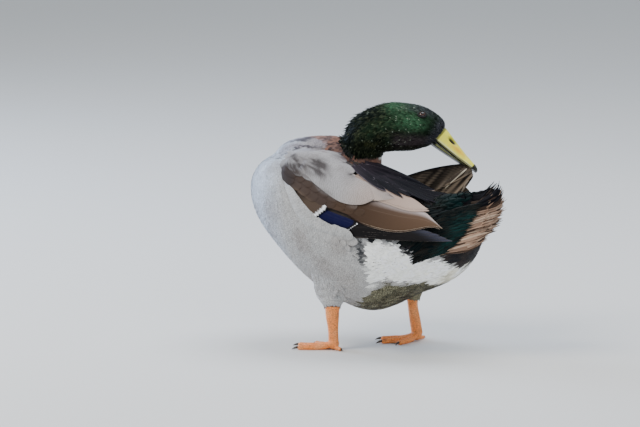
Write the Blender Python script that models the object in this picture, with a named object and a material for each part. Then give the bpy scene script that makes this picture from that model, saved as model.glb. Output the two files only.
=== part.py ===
"""A mallard drake, life size, standing on both feet with its head turned back over its right
shoulder, the bill nibbling a lifted feather of the right wing.

The bird faces -X, its left side is -Y and up is +Z. Sizes are in millimetres and become metres
where a mesh is made. The origin is on the floor, under the middle of the bird's bounding box.
"""

import math

import bmesh
import bpy
import numpy as np

MM = 0.001
GAP = 0.32  # kept between touching pieces
ORIGIN = np.array([-1.3, 2.0, 0.0])  # the floor under the middle of the box, where the origin is put
LEFT, RIGHT = -1, 1  # the sign of Y on each side

# Torso: rows of (x, centre height, half width, height above the centre, depth below it)
TORSO = [
    (-155, 177, 0, 0, 0),
    (-144, 177, 37, 28, 38),
    (-110, 171, 66, 48, 68),
    (-60, 148, 77, 69, 85),
    (0, 130, 77, 67, 89),
    (55, 125, 66, 54, 61),
    (98, 127, 46, 42, 43),
    (124, 133, 24, 25, 24),
    (137, 138, 0, 0, 0),
]
TORSO_RINGS, TORSO_SIDES = 32, 36
FLANK_EDGE_X = (-115, -98, -70, -37, 4, 24, 60)
FLANK_EDGE_DEG = (22, 38, 61, 78, 90, 98, 118)  # down from the top line
FLANK_RISE = 5.0  # how far the flank's feathers stand over the wing's lower edge
FLANK_FADE_DEG = 62

# The sheet that the folded wings lie on: rows of (x, centre height, half width, height)
SHELL = [
    (-112, 171, 64, 55),
    (-60, 148, 78, 70),
    (0, 131, 79, 68),
    (60, 125, 69, 57),
    (110, 127, 55, 47),
    (142, 130, 46, 42),
]
ARC = 74.0  # mean radius of that sheet, which turns degrees into millimetres across a feather
CORE_START, CORE_END = -100, 74
CORE_DEPTH = -7.0
CORE_ROWS, CORE_COLUMNS = 11, 7
VANE = 0.65  # feather thickness

# Head and neck: rows of (forward, height, side, tilt of the section, half depth, half width) in
# the upright plane through the skull, which faces back and to the bird's right
HEAD_TURN = math.radians(24)  # from +X towards +Y
HEAD_PLACE = np.array([0.0, 45.0, 0.0])
HEAD_ROLL = math.radians(-16)  # the crown leans away from the bird's left, so its right cheek looks up
NECK_AND_HEAD = [
    (-37.0, 214.0, 0, 92, 24.0, 22.5),
    (-35.5, 227.0, 0, 82, 24.5, 23.0),
    (-27.5, 239.0, 0, 45, 27.0, 24.0),
    (-5.5, 247.5, 0, 4, 28.6, 23.0),
    (8.0, 248.0, 0, 0, 28.4, 21.5),
    (27.0, 247.0, 0, -8, 26.5, 20.8),
    (42.0, 243.0, 0, -26, 21.5, 17.0),
    (50.0, 238.5, 0, -36, 15.5, 12.5),
    (55.0, 235.0, 0, -40, 0, 0),
]
COLLAR_HEIGHT = 216.0
HEAD_START = 2.6  # station where the head is parted from the neck
BILL_DROP = math.radians(-40.4)
BILL_BASE = (50.5, 235.3)
BILL_LENGTH = 59.0
LOWER_LENGTH = 51.0
BILL_OPEN = math.radians(1.7)
BILL_WIDTHS = (11.2, 10.0, 10.2, 11.6, 11.0)  # half widths from the base to the tip
UPPER_TOPS, UPPER_BOTTOMS = (14.3, 11.0, 7.9, 5.2, 3.6), (-5.4, -5.0, -4.4, -3.4, -2.6)
LOWER_WIDTHS = (9.6, 8.8, 9.0, 9.8, 9.2)
LOWER_TOPS, LOWER_BOTTOMS = (-5.8, -5.4, -4.8, -3.8, -3.0), (-10.8, -9.2, -7.2, -5.2, -4.2)
EYE_STATION = 5.15  # along the rows of the neck and head
EYE_ANGLE = math.radians(55)  # down from the crown
EYE_RADIUS, EYE_DEPTH = 4.7, 3.2


def through(rows, t, poles=False):
    """Points of the smooth curve through the rows, a Catmull-Rom spline, at places t counted in rows.
    With poles, the curve runs on past each end as a mirror, so that it closes round."""
    rows = np.asarray(rows, float)
    before, after = 2 * rows[0] - rows[1], 2 * rows[-1] - rows[-2]
    if poles:
        mirror = np.where(np.arange(rows.shape[1]) < 2, 1.0, -1.0)
        before, after = rows[1] * mirror, rows[-2] * mirror
    padded = np.vstack([before, rows, after])
    t = np.clip(np.asarray(t, float), 0, len(rows) - 1 - 1e-9)
    k = t.astype(int)
    f = (t - k)[..., None]
    a, b, c, d = (padded[k + i] for i in range(4))
    return b + 0.5 * f * (c - a + f * (2 * a - 5 * b + 4 * c - d + f * (3 * (b - c) + d - a)))


def smooth_at(x, places, values):
    """Value at x of the smooth curve through (places, values): cubic pieces with averaged slopes."""
    places, values = np.asarray(places, float), np.asarray(values, float)
    slopes = np.gradient(values, places)
    x = np.clip(x, places[0], places[-1])
    k = np.clip(np.searchsorted(places, x, "right") - 1, 0, len(places) - 2)
    span = places[k + 1] - places[k]
    f = (x - places[k]) / span
    return (
        (1 + 2 * f) * (1 - f) ** 2 * values[k]
        + f * (1 - f) ** 2 * span * slopes[k]
        + f * f * (3 - 2 * f) * values[k + 1]
        + f * f * (f - 1) * span * slopes[k + 1]
    )


def ease(t):
    """0 below 0, 1 above 1 and a smooth step between."""
    t = np.clip(t, 0, 1)
    return t * t * (3 - 2 * t)


def unit(v):
    return v / np.linalg.norm(v, axis=-1, keepdims=True)


def joined(x, y, z):
    return np.stack(np.broadcast_arrays(x, y, z), -1)


def new_object(name, points, faces):
    """A mesh object from points in millimetres and triangles, turned outwards if it is inside out."""
    points = (np.asarray(points, float) - ORIGIN) * MM
    faces = np.asarray(faces, int)
    a, b, c = (points[faces[:, i]] for i in range(3))
    if np.einsum("ij,ij->i", a, np.cross(b, c)).sum() < 0:
        faces = faces[:, ::-1]
    mesh = bpy.data.meshes.new(name)
    mesh.from_pydata(points.tolist(), [], faces.tolist())
    mesh.update()
    obj = bpy.data.objects.new(name, mesh)
    bpy.context.scene.collection.objects.link(obj)
    return obj


def skin_rings(name, rings, closed=True):
    """A closed solid through rings of points, all of one length. A first or last ring that has
    shrunk to a point becomes a pole, and any other end gets a flat cap from its middle."""
    rings = np.asarray(rings, float)
    count, sides = rings.shape[:2]
    points = rings.reshape(-1, 3)
    i, j = np.meshgrid(np.arange(count - 1), np.arange(sides), indexing="ij")
    p, q = i * sides + j, i * sides + (j + 1) % sides
    r, s = p + sides, q + sides
    faces = [np.stack([p, q, s], -1).reshape(-1, 3), np.stack([p, s, r], -1).reshape(-1, 3)]
    middles = []
    for end, flip in ((0, True), (count - 1, False)):
        hub = len(points) + len(middles)
        middles.append(rings[end].mean(0))
        a = end * sides + np.arange(sides)
        b = end * sides + (np.arange(sides) + 1) % sides
        fan = np.stack([a, b, np.full(sides, hub)], -1)
        faces.append(fan[:, ::-1] if flip else fan)
    points, faces = np.vstack([points, middles]), np.vstack(faces)
    return new_object(name, *welded(points, faces))


def welded(points, faces):
    """Points that fall together made one, and the faces that vanish left out."""
    _, first, index = np.unique(np.round(points, 3), axis=0, return_index=True, return_inverse=True)
    faces = index.reshape(-1)[faces]
    whole = (faces[:, 0] != faces[:, 1]) & (faces[:, 1] != faces[:, 2]) & (faces[:, 0] != faces[:, 2])
    return points[first], faces[whole]


def plate(name, top, bottom):
    """A thin closed plate between two grids of points of one shape, cut alike on both faces."""
    rows, columns = top.shape[:2]
    points = np.vstack([top.reshape(-1, 3), bottom.reshape(-1, 3)])
    i, j = np.meshgrid(np.arange(rows - 1), np.arange(columns - 1), indexing="ij")
    p = (i * columns + j).ravel()
    q, r, s = p + 1, p + columns, p + columns + 1
    upper = np.vstack([np.stack([p, q, s], -1), np.stack([p, s, r], -1)])
    border = (
        [k for k in range(columns)]
        + [i * columns + columns - 1 for i in range(1, rows)]
        + [(rows - 1) * columns + k for k in range(columns - 2, -1, -1)]
        + [i * columns for i in range(rows - 2, 0, -1)]
    )
    a, b = np.array(border), np.roll(border, -1)
    under = rows * columns
    walls = np.vstack([np.stack([b, a, a + under], -1), np.stack([b, a + under, b + under], -1)])
    return new_object(name, points, np.vstack([upper, upper[:, ::-1] + under, walls]))


def apply_modifier(obj, modifier):
    """Puts the modifier's result into the object's mesh."""
    graph = bpy.context.evaluated_depsgraph_get()
    mesh = bpy.data.meshes.new_from_object(obj.evaluated_get(graph))
    obj.modifiers.remove(modifier)
    old = obj.data
    obj.data = mesh
    bpy.data.meshes.remove(old)


def boolean(obj, operation, other, solver="MANIFOLD"):
    """Joins to obj, or cuts from it, an object or a collection, and removes what it used."""
    modifier = obj.modifiers.new(operation.lower(), "BOOLEAN")
    modifier.operation = operation
    modifier.solver = solver
    if isinstance(other, bpy.types.Collection):
        modifier.operand_type = "COLLECTION"
        modifier.collection = other
    else:
        modifier.object = other
    apply_modifier(obj, modifier)


def remove(obj):
    mesh = obj.data
    bpy.data.objects.remove(obj)
    bpy.data.meshes.remove(mesh)


def fused(name, core, pieces):
    """One closed body from a core and the pieces rooted in it, by one Boolean union."""
    group = bpy.data.collections.new(name + "_pieces")
    bpy.context.scene.collection.children.link(group)
    for piece in pieces:
        group.objects.link(piece)
        bpy.context.scene.collection.objects.unlink(piece)
    boolean(core, "UNION", group)
    for piece in pieces:
        remove(piece)
    bpy.data.collections.remove(group)
    core.name = name
    core.data.name = name
    keep_largest(core)
    return core


def swollen(obj, by=GAP):
    """A copy of obj that stands out from it by the gap, to cut its neighbours with."""
    cutter = obj.copy()
    cutter.data = obj.data.copy()
    bpy.context.scene.collection.objects.link(cutter)
    shape = bmesh.new()
    shape.from_mesh(cutter.data)
    bmesh.ops.remove_doubles(shape, verts=shape.verts, dist=1e-6)
    shape.normal_update()
    steps = [v.normal * by * MM * min(v.calc_shell_factor(), 1.6) for v in shape.verts]
    for vertex, step in zip(shape.verts, steps):
        vertex.co += step
    shape.to_mesh(cutter.data)
    shape.free()
    return cutter


def cut_clear(obj, *neighbours, by=GAP):
    """Cuts obj back from its neighbours, so that the gap stays between them."""
    for neighbour in neighbours:
        cutter = swollen(neighbour, by)
        boolean(obj, "DIFFERENCE", cutter)
        remove(cutter)
    keep_largest(obj)


def keep_largest(obj):
    """Leaves only the largest closed surface of the mesh."""
    shape = bmesh.new()
    shape.from_mesh(obj.data)
    bmesh.ops.remove_doubles(shape, verts=shape.verts, dist=2e-6)
    bmesh.ops.dissolve_degenerate(shape, dist=1e-6, edges=shape.edges)
    bmesh.ops.triangulate(shape, faces=shape.faces)
    shape.verts.ensure_lookup_table()
    left, islands = set(shape.verts), []
    while left:
        seed = left.pop()
        island, edge = {seed}, [seed]
        while edge:
            vertex = edge.pop()
            for link in vertex.link_edges:
                other = link.other_vert(vertex)
                if other in left:
                    left.discard(other)
                    island.add(other)
                    edge.append(other)
        islands.append(island)
    islands.sort(key=len)
    for island in islands[:-1]:
        bmesh.ops.delete(shape, geom=list(island), context="VERTS")
    shape.to_mesh(obj.data)
    shape.free()


def torso_point(x_place, degrees):
    """Point of the torso at a place along its rows and an angle down from the top line; positive
    angles run down the left side. A section is an ellipse, taller or shorter below its centre, and
    the flank's feathers raise it along a curved edge beside the wing."""
    x, z, wide, above, below = np.moveaxis(through(TORSO, x_place, poles=True), -1, 0)
    angle = np.radians(degrees)
    tall = np.where(np.cos(angle) > 0, above, below)
    side = np.abs(degrees)
    down = side - np.interp(x, FLANK_EDGE_X, FLANK_EDGE_DEG)
    rise = FLANK_RISE * ease(down / 7) * (1 - ease((down - 8) / FLANK_FADE_DEG))
    rise *= ease((x + 147) / 30) * ease((x - 52) / -42)
    return joined(x, -(wide + rise) * np.sin(angle), z + (tall + rise * 0.3) * np.cos(angle))


def make_torso():
    t = np.linspace(0, 1, TORSO_RINGS)
    place = (len(TORSO) - 1) * (t - 0.035 * np.sin(2 * np.pi * t))
    degrees = np.linspace(-180, 180, TORSO_SIDES, endpoint=False)
    return skin_rings("torso", torso_point(place[:, None], degrees[None, :]))


def shell_point(side, x, across, lift):
    """Point on the sheet that a folded wing lies on: x along the bird, across in millimetres down
    from the back's top line, and lift outwards. The sheet's sections are half ellipses."""
    rows = np.asarray(SHELL, float)
    z, wide, tall = (smooth_at(x, rows[:, 0], rows[:, k]) for k in (1, 2, 3))
    angle = across / ARC
    return joined(x, side * (wide + lift) * np.sin(angle), z + (tall + lift) * np.cos(angle))


def degrees_across(degrees):
    return math.radians(degrees) * ARC


VANE_SHAPE_S = (0, 0.35, 0.7, 0.9, 1.0)
ROUND_TIP = (0.6, 0.92, 1.0, 0.72, 0.18)
POINTED_TIP = (0.6, 1.0, 0.88, 0.46, 0.10)


def wing_vane(side, root, tip, half_width, lift, shape=ROUND_TIP, tilt=0.55, bow=0.0, columns=2):
    """A feather lying over the wing's sheet: root and tip are (x, degrees down from the top line),
    lift is (at the root, at the tip). It widens, then tapers to its tip, and its lower edge stands
    higher than its upper one, so that each feather lies over the next one down like a roof tile."""
    s = np.array(VANE_SHAPE_S)
    start = np.array([root[0], degrees_across(root[1])])
    end = np.array([tip[0], degrees_across(tip[1])])
    along = end - start
    over = np.array([-along[1], along[0]]) / np.linalg.norm(along)
    if over[1] < 0:
        over = -over
    middle = start + s[:, None] * along + (4 * s * (1 - s) * bow)[:, None] * over
    wide = half_width * np.array(shape)
    offset = np.linspace(-1, 1, columns)
    flat = middle[:, None, :] + (wide[:, None] * offset[None, :])[..., None] * over
    height = (lift[0] + (lift[1] - lift[0]) * s)[:, None] + tilt * offset[None, :]
    top = shell_point(side, flat[..., 0], flat[..., 1], height + VANE / 2)
    bottom = shell_point(side, flat[..., 0], flat[..., 1], height - VANE / 2)
    return plate("vane", top, bottom)


def free_vane(path, half_width, facing, shape=ROUND_TIP, thick=VANE, rows=7, curl=0.0):
    """A feather held free of the body: a plate along a smooth path, whose flat side faces the
    given direction, or one direction for each point of the path."""
    path = np.asarray(path, float)
    s = np.linspace(0, 1, rows)
    centre = through(path, s * (len(path) - 1))
    step = np.gradient(centre, axis=0)
    facing = np.asarray(facing, float)
    if facing.ndim > 1:
        facing = through(facing, s * (len(facing) - 1))
    over = unit(np.cross(np.broadcast_to(facing, centre.shape), step))
    normal = unit(np.cross(step, over))
    wide = half_width * np.interp(s, VANE_SHAPE_S, shape)
    sides = np.array([-1.0, 1.0]) if curl == 0 else np.array([-1.0, 0.0, 1.0])
    flat = centre[:, None, :] + (wide[:, None] * sides)[..., None] * over[:, None, :]
    flat = flat - (curl * wide[:, None] * np.abs(sides))[..., None] * normal[:, None, :]
    half = thick / 2 * normal[:, None, :]
    return plate("vane", flat + half, flat - half)


def wing_core(side, upper_deg, lower_deg, rise):
    """The body of a folded wing, a rounded pad on the sheet, highest near the wrist. upper_deg and
    lower_deg are its edges at the ends and middle of its length."""
    x = np.linspace(CORE_START, CORE_END, CORE_ROWS)
    knots = np.linspace(CORE_START, CORE_END, len(upper_deg))
    upper = degrees_across(1) * smooth_at(x, knots, upper_deg)
    lower = degrees_across(1) * smooth_at(x, knots, lower_deg)
    q = np.sin(np.linspace(-1, 1, CORE_COLUMNS) * math.pi / 2)
    across = (upper + lower)[:, None] / 2 + (lower - upper)[:, None] / 2 * q
    along = np.linspace(-1, 1, CORE_ROWS)
    dome = np.sqrt(np.clip(1 - q**2, 0, 1))[None, :] ** 0.7 * np.sqrt(1 - np.clip(-along, 0, 1) ** 4)[:, None]
    height = smooth_at(x, knots, rise)[:, None] * dome - 2.2 * (1 - dome)
    spread = x[:, None] + 0 * across
    top = shell_point(side, spread, across, height)
    return plate("core", top, shell_point(side, spread, across, CORE_DEPTH + 0 * height))


def feather_row(side, count, root, root_step, tip, tip_step, half_width, lift, lift_step=0.0, **form):
    """Feathers side by side up a wing: each next one is stepped from the last at its root and tip."""
    return [
        wing_vane(
            side,
            (root[0] + root_step[0] * k, root[1] + root_step[1] * k),
            (tip[0] + tip_step[0] * k, tip[1] + tip_step[1] * k),
            half_width,
            (lift[0] + lift_step * k, lift[1] + lift_step * k),
            **form,
        )
        for k in range(count)
    ]


def flight_feathers(side, medians=3):
    """Primaries under the tertials, the secondaries of the bright bar, and the coverts over them."""
    primaries = feather_row(
        side, 3, (20, 83), (0, -2), (127, 77), (-9, -3), 7.5, (0.4, 0.4), 1.0, shape=POINTED_TIP, tilt=0.3
    )
    secondaries = feather_row(side, 5, (-46, 86), (0, -3.5), (26, 90), (-1.5, -3.6), 4.6, (1.6, 1.5), 0.3, tilt=0.75)
    greater = feather_row(side, 4, (-76, 68), (0, -6.5), (-31, 85), (1, -6.5), 5.6, (2.2, 4.3), 0.25, tilt=0.75)
    median = feather_row(side, medians, (-90, 48), (1, -8), (-49, 69), (2, -10), 8.0, (1.0, 5.9), 0.2, tilt=0.8)
    return primaries + secondaries + greater + median


def tertials(side, count=3):
    """The long inner feathers, the lowest of them the longest and broadest."""
    rows = (
        ((-20, 60), (115, 60), 16.0, (3.4, 3.6), 4.0),
        ((-12, 42), (90, 36), 12.5, (4.2, 4.7), 3.0),
        ((-8, 27), (74, 20), 11.0, (4.8, 5.6), 1.0),
    )
    return [
        wing_vane(side, root, tip, half_width, lift, POINTED_TIP, 0.6, bow, 3)
        for root, tip, half_width, lift, bow in rows[:count]
    ]


def scapulars(side):
    """Broad shoulder feathers in three rows, which cover the tertials' roots."""
    hind = feather_row(side, 3, (-6, 46), (-1, -14), (43, 44), (3, -14), 11.5, (3.2, 6.6), tilt=0.75)
    middle = feather_row(side, 4, (-38, 46), (0, -12.5), (14, 51), (3, -13), 10.5, (3.6, 7.8), tilt=0.75)
    front = feather_row(side, 3, (-74, 36), (2, -12), (-18, 50), (4, -14), 11.0, (2.2, 8.8), tilt=0.75)
    return hind + middle + front


def make_left_wing():
    core = wing_core(LEFT, WING_TOP_DEG, WING_LOW_DEG, WING_RISE)
    return fused("wing_left", core, flight_feathers(LEFT) + tertials(LEFT) + scapulars(LEFT))


def make_right_wing():
    """The far wing, its inner feathers drawn up and back to the bill."""
    core = wing_core(RIGHT, WING_TOP_DEG, WING_LOW_DEG, WING_RISE)
    lifted = [
        free_vane(path, half_width, LIFTED_FACING, POINTED_TIP, rows=8)
        for path, half_width in LIFTED
    ]
    return fused("wing_right", core, flight_feathers(RIGHT, 0) + tertials(RIGHT, 1) + scapulars(RIGHT) + lifted)


WING_TOP_DEG, WING_LOW_DEG = (36, 5, 5, 16, 40), (44, 82, 85, 80, 66)
WING_RISE = (3.0, 6.0, 5.4, 4.2, 2.0)
LIFTED_FACING = (0.12, -0.97, -0.2)
LIFTED = [  # (root, middle, tip) of each lifted feather and its half width, from the hindmost down
    (((-24, 67, 166), (28, 72.5, 187), (84, 79.0, 202.5)), 9.0),
    (((-10, 66, 158), (40, 70.6, 180), (85, 76.6, 199.5)), 10.0),
    (((6, 65, 152), (52, 68.8, 172), (87, 74.2, 196)), 10.0),
    (((22, 64, 146), (62, 67.2, 164), (87, 72.0, 191)), 9.0),
    (((40, 63, 143), (68, 65.8, 158), (83, 70.0, 187)), 7.0),
]


def head_axes():
    """Forward, up and side of the skull's upright plane; side points to the bird's left."""
    forward = np.array([math.cos(HEAD_TURN), math.sin(HEAD_TURN), 0.0])
    side = np.array([math.sin(HEAD_TURN), -math.cos(HEAD_TURN), 0.0])
    return forward, np.array([0.0, 0.0, 1.0]), side


def head_place(forward, up, side=0.0):
    """Point of the row frame from distances in the skull's plane."""
    f, u, s = head_axes()
    return HEAD_PLACE + np.multiply.outer(forward, f) + np.multiply.outer(up, u) + np.multiply.outer(side, s)


def head_ring(station, sides=24):
    """Section of the neck or head at a station: an ellipse in a plane that is tilted as the row
    says, rolled with the head."""
    row = through(NECK_AND_HEAD, station)
    f, u, s = head_axes()
    tilt = np.radians(row[..., 3:4])
    roll = HEAD_ROLL * ease(np.asarray(station, float)[..., None] / 4)
    deep = -np.sin(tilt) * f + np.cos(tilt) * u
    up = np.cos(roll) * deep + np.sin(roll) * s
    wide = np.cos(roll) * s - np.sin(roll) * deep
    angle = np.linspace(0, 2 * np.pi, sides, endpoint=False)
    centre = head_place(row[..., 0], row[..., 1], row[..., 2])
    return (
        centre[..., None, :]
        + (row[..., 4, None] * np.cos(angle))[..., None] * up[..., None, :]
        + (row[..., 5, None] * np.sin(angle))[..., None] * wide[..., None, :]
    )


def make_neck_upper():
    return skin_rings("neck_upper", head_ring(np.linspace(0.05, HEAD_START - 0.02, 8)))


def make_head():
    last = len(NECK_AND_HEAD) - 1
    t = np.linspace(HEAD_START, last, 16)
    rings = head_ring(t)
    return skin_rings("head", rings)


def bill_axes():
    """Forward along the bill, up over the culmen and out to the side that faces the left."""
    f, u, s = head_axes()
    forward = math.cos(BILL_DROP) * f + math.sin(BILL_DROP) * u
    level = -math.sin(BILL_DROP) * f + math.cos(BILL_DROP) * u
    up = math.cos(HEAD_ROLL) * level + math.sin(HEAD_ROLL) * s
    side = math.cos(HEAD_ROLL) * s - math.sin(HEAD_ROLL) * level
    return forward, up, side


def bill_rings(length, widths, tops, bottoms, drop, arch):
    """Rings of a mandible: the section's top is a low arch and its underside nearly flat. Widths,
    tops and bottoms follow the bill from its base to its tip, where it closes round."""
    f, u, s = bill_axes()
    t = np.linspace(-0.22, 1, 13)
    rounding = np.sqrt(np.clip(1 - np.clip((t - 0.72) / 0.28, 0, 1) ** 2.4, 0, 1))
    knots = np.linspace(0, 1, len(widths))
    wide = smooth_at(np.maximum(t, 0), knots, widths) * rounding
    top, bottom = (smooth_at(np.maximum(t, 0), knots, values) for values in (tops, bottoms))
    middle = (top + bottom) / 2
    top = middle + (top - middle) * (0.2 + 0.8 * rounding)
    bottom = middle + (bottom - middle) * (0.2 + 0.8 * rounding)
    angle = np.linspace(0, 2 * np.pi, 16, endpoint=False)
    rise = np.where(np.sin(angle) > 0, np.abs(np.sin(angle)) ** arch, -np.abs(np.sin(angle)) ** 0.6)
    seam = (bottom + 0.15 * (top - bottom))[:, None]
    height = seam + np.where(rise[None, :] > 0, (top[:, None] - seam) * rise, (seam - bottom[:, None]) * rise)
    along = t[:, None] * length + 0 * height
    lower = -along * math.sin(drop)
    base = head_place(*BILL_BASE)
    return (
        base
        + (along * math.cos(drop))[..., None] * f
        + (height + lower)[..., None] * u
        + (wide[:, None] * np.cos(angle))[..., None] * s
    )


def make_bill(head):
    upper = skin_rings("bill_upper", bill_rings(BILL_LENGTH, BILL_WIDTHS, UPPER_TOPS, UPPER_BOTTOMS, 0.0, 0.8))
    lower = skin_rings("bill_lower", bill_rings(LOWER_LENGTH, LOWER_WIDTHS, LOWER_TOPS, LOWER_BOTTOMS, BILL_OPEN, 1.0))
    f, u, s = bill_axes()
    for side in (1, -1):
        nostril = ball("nostril", head_place(*BILL_BASE) + 14.5 * f + 7.2 * u + side * 7.4 * s, 3.4, u, 0.45, 5, 8)
        boolean(upper, "DIFFERENCE", nostril)
        remove(nostril)
    cut_clear(upper, head)
    cut_clear(lower, head, upper)
    return upper, lower


def make_eyes(head):
    """Both eyes as balls let into the head, with a ring of lid round each."""
    eyes = []
    for name, toward in (("eye_right", 1), ("eye_left", -1)):
        ring = head_ring(np.array(EYE_STATION), 360)
        middle = ring.mean(0)
        surface = ring[int(round(math.degrees(toward * EYE_ANGLE))) % 360]
        out = unit(surface - middle)
        centre = surface - EYE_DEPTH * out
        lid = ball("lid", centre, EYE_RADIUS + 1.2, out, 0.7)
        fused("head", head, [lid])
        eye = ball(name, centre, EYE_RADIUS, out, 1.0)
        cut_clear(head, eye)
        eyes.append(eye)
    return eyes


def ball(name, centre, radius, axis, flat, rows=9, sides=14):
    """A ball, flattened along an axis, with a pole on that axis."""
    axis = unit(np.asarray(axis, float))
    a = unit(np.cross(axis, [0.3, 0.2, 0.9]))
    b = np.cross(axis, a)
    lat = np.linspace(0, math.pi, rows)[:, None]
    lon = np.linspace(0, 2 * math.pi, sides, endpoint=False)[None, :]
    points = (
        (np.cos(lat) * flat + 0 * lon)[..., None] * axis
        + (np.sin(lat) * np.cos(lon))[..., None] * a
        + (np.sin(lat) * np.sin(lon))[..., None] * b
    )
    return skin_rings(name, centre + radius * points)


def blob(name, rows, sides=18, steps=13, across=(0.0, 1.0, 0.0)):
    """A rounded bag along rows of (x, y, z, half depth, half width), closed round at both ends."""
    s = 0.5 - 0.5 * np.cos(np.linspace(0, np.pi, steps))
    return tube_like(name, rows, s, (1 - (2 * s - 1) ** 4) ** 0.5, sides, across)


def tube(name, rows, sides=12, steps=10, across=(0.0, 1.0, 0.0)):
    """A tube along rows of (x, y, z, half depth, half width) with flat ends."""
    s = np.linspace(0, 1, steps)
    return tube_like(name, rows, s, 1 + 0 * s, sides, across)


def tube_like(name, rows, s, swell, sides, across):
    row = through(rows, s * (len(rows) - 1))
    fine = through(rows, np.clip(s + 0.01, 0, 1) * (len(rows) - 1))[:, :3]
    coarse = through(rows, np.clip(s - 0.01, 0, 1) * (len(rows) - 1))[:, :3]
    step = unit(fine - coarse)
    deep = unit(np.cross(step, np.asarray(across, float)))
    wide = np.cross(deep, step)
    angle = np.linspace(0, 2 * np.pi, sides, endpoint=False)
    rings = (
        row[:, None, :3]
        + (row[:, 3:4] * swell[:, None] * np.cos(angle))[..., None] * deep[:, None, :]
        + (row[:, 4:5] * swell[:, None] * np.sin(angle))[..., None] * wide[:, None, :]
    )
    return skin_rings(name, rings)


def make_neck_lower():
    """The root of the neck: the crop's fold over the right shoulder and the post that rises from it."""
    fold = blob("fold", [(-134, -2, 186, 38, 38), (-100, 10, 193, 40, 42), (-62, 25, 198, 37, 37), (-22, 36, 190, 30, 30)], 22, 14)
    post = tube("post", [(-32, 31, 168, 24, 24), (-33.5, 30.5, 190, 23.5, 23.5), (-33.8, 30, 214, 23.5, 22.5)], 22, 6, (0.4, -0.9, 0))
    return fused("neck_lower", fold, [post])


THIGHS = {  # rows of (x, y, z, half depth, half width) from the belly down to the hock
    "left": [(-30, -38, 90, 27, 20), (-32, -43, 66, 22, 16), (-29, -48, 50.5, 9.0, 8.4)],
    "right": [(30, 42, 86, 16, 14), (26, 46, 66, 13, 11), (22.5, 48, 52.5, 8.6, 8.0)],
}
SHANKS = {  # rows from the hock down to the toes' root
    "left": [(-29, -48, 51, 7.8, 7.4), (-29, -48, 40, 8.0, 7.2), (-28, -48, 24, 6.2, 5.6), (-27.4, -48, 8, 6.0, 5.4)],
    "right": [(22.5, 48, 52, 6.4, 6.8), (23.2, 48, 40, 5.8, 6.2), (26.0, 48, 24, 6.6, 5.8), (29.0, 48, 8, 6.8, 5.8)],
}
FOOT_PLACE = {"left": (-27.5, -48.0), "right": (28.0, 48.0)}
FOOT_HEADING = {"left": math.radians(184), "right": math.radians(234)}
TOES = ((-29, 41), (0, 52), (27, 48))  # degrees outwards from the middle toe, length with the claw
HALLUX = (152, 17)
WEB_START, WEB_REACH, WEB_HOLLOW = 6.0, 0.80, 0.13


def toe(place, heading, length, thick, base_height=7.0):
    """A toe on the floor with its claw, from the root of the toes outwards."""
    way = np.array([math.cos(heading), math.sin(heading)])
    shape = ((0, base_height, 1.1), (0.3, 3.0, 1.0), (0.62, 2.4, 0.86), (0.8, 2.1, 0.8), (0.88, 1.5, 0.5), (1.0, 0.7, 0.12))
    rows = [(*(place + way * length * s), z, thick * r, thick * r * 1.15) for s, z, r in shape]
    return tube("toe", rows, 8, 7, (-way[1], way[0], 0))


def web(place, heading, outwards):
    """The skin between the front toes, its edge hollowed from toe to toe."""
    angles = np.linspace(TOES[0][0], TOES[2][0], 9)
    reach = np.interp(angles, [t[0] for t in TOES], [t[1] for t in TOES]) * WEB_REACH
    reach *= 1 - WEB_HOLLOW * np.abs(np.sin(np.pi * np.interp(angles, [t[0] for t in TOES], (0, 1, 2))))
    turn = heading + outwards * np.radians(angles)
    r = np.linspace(0, 1, 3)[:, None] * (reach - WEB_START)[None, :] + WEB_START
    x, y = place[0] + r * np.cos(turn), place[1] + r * np.sin(turn)
    return plate("web", joined(x, y, 2.1), joined(x, y, 0.8))


def make_foot(name, side_name, outwards):
    """One foot with its sole cut flat at the floor."""
    place, heading = np.array(FOOT_PLACE[side_name]), FOOT_HEADING[side_name]
    knob = ball("knob", np.array([*place, 7.0]), 6.6, (0, 0, 1), 1.0)
    pieces = [toe(place, heading + outwards * math.radians(a), length, 3.5) for a, length in TOES]
    pieces.append(toe(place, heading + outwards * math.radians(HALLUX[0]), HALLUX[1], 2.5, 6.0))
    pieces.append(web(place, heading, outwards))
    foot = fused(name, knob, pieces)
    floor = plate("floor", *(grid_box((-140, 140), (-140, 140), z) for z in (0.0, -30.0)))
    boolean(foot, "DIFFERENCE", floor)
    remove(floor)
    keep_largest(foot)
    return foot


def grid_box(xs, ys, z):
    return np.array([[(x, y, z) for y in ys] for x in xs], float)


TAIL_ROOT = np.array([84.0, 5.0, 122.0])
TAIL_HEADING = math.radians(13)
TAIL_SPREAD = math.radians(38)
TAIL_RISE, TAIL_DROOP = math.radians(50), math.radians(36)
TAIL_LENGTH, TAIL_SHORTER = 93.0, 24.0


def tail_way(fan):
    """Unit direction of a tail feather at its place in the fan, -1 far left to 1 far right. The fan
    is arched: its outer feathers point lower."""
    heading = TAIL_HEADING + TAIL_SPREAD * fan
    rise = TAIL_RISE - TAIL_DROOP * np.abs(fan) ** 1.7
    return joined(np.cos(rise) * np.cos(heading), np.cos(rise) * np.sin(heading), np.sin(rise))


def tail_up(fan, step=0.02):
    """Unit direction out of the fan's upper face at that place."""
    return unit(np.cross(tail_way(fan), tail_way(fan + step) - tail_way(fan - step)))


def tail_point(fan, reach, lift):
    """Point of the fan: reach along the feather at that place and lift above it."""
    fan = np.asarray(fan, float)
    return TAIL_ROOT + np.asarray(reach)[..., None] * tail_way(fan) + np.asarray(lift)[..., None] * tail_up(fan)


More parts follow.
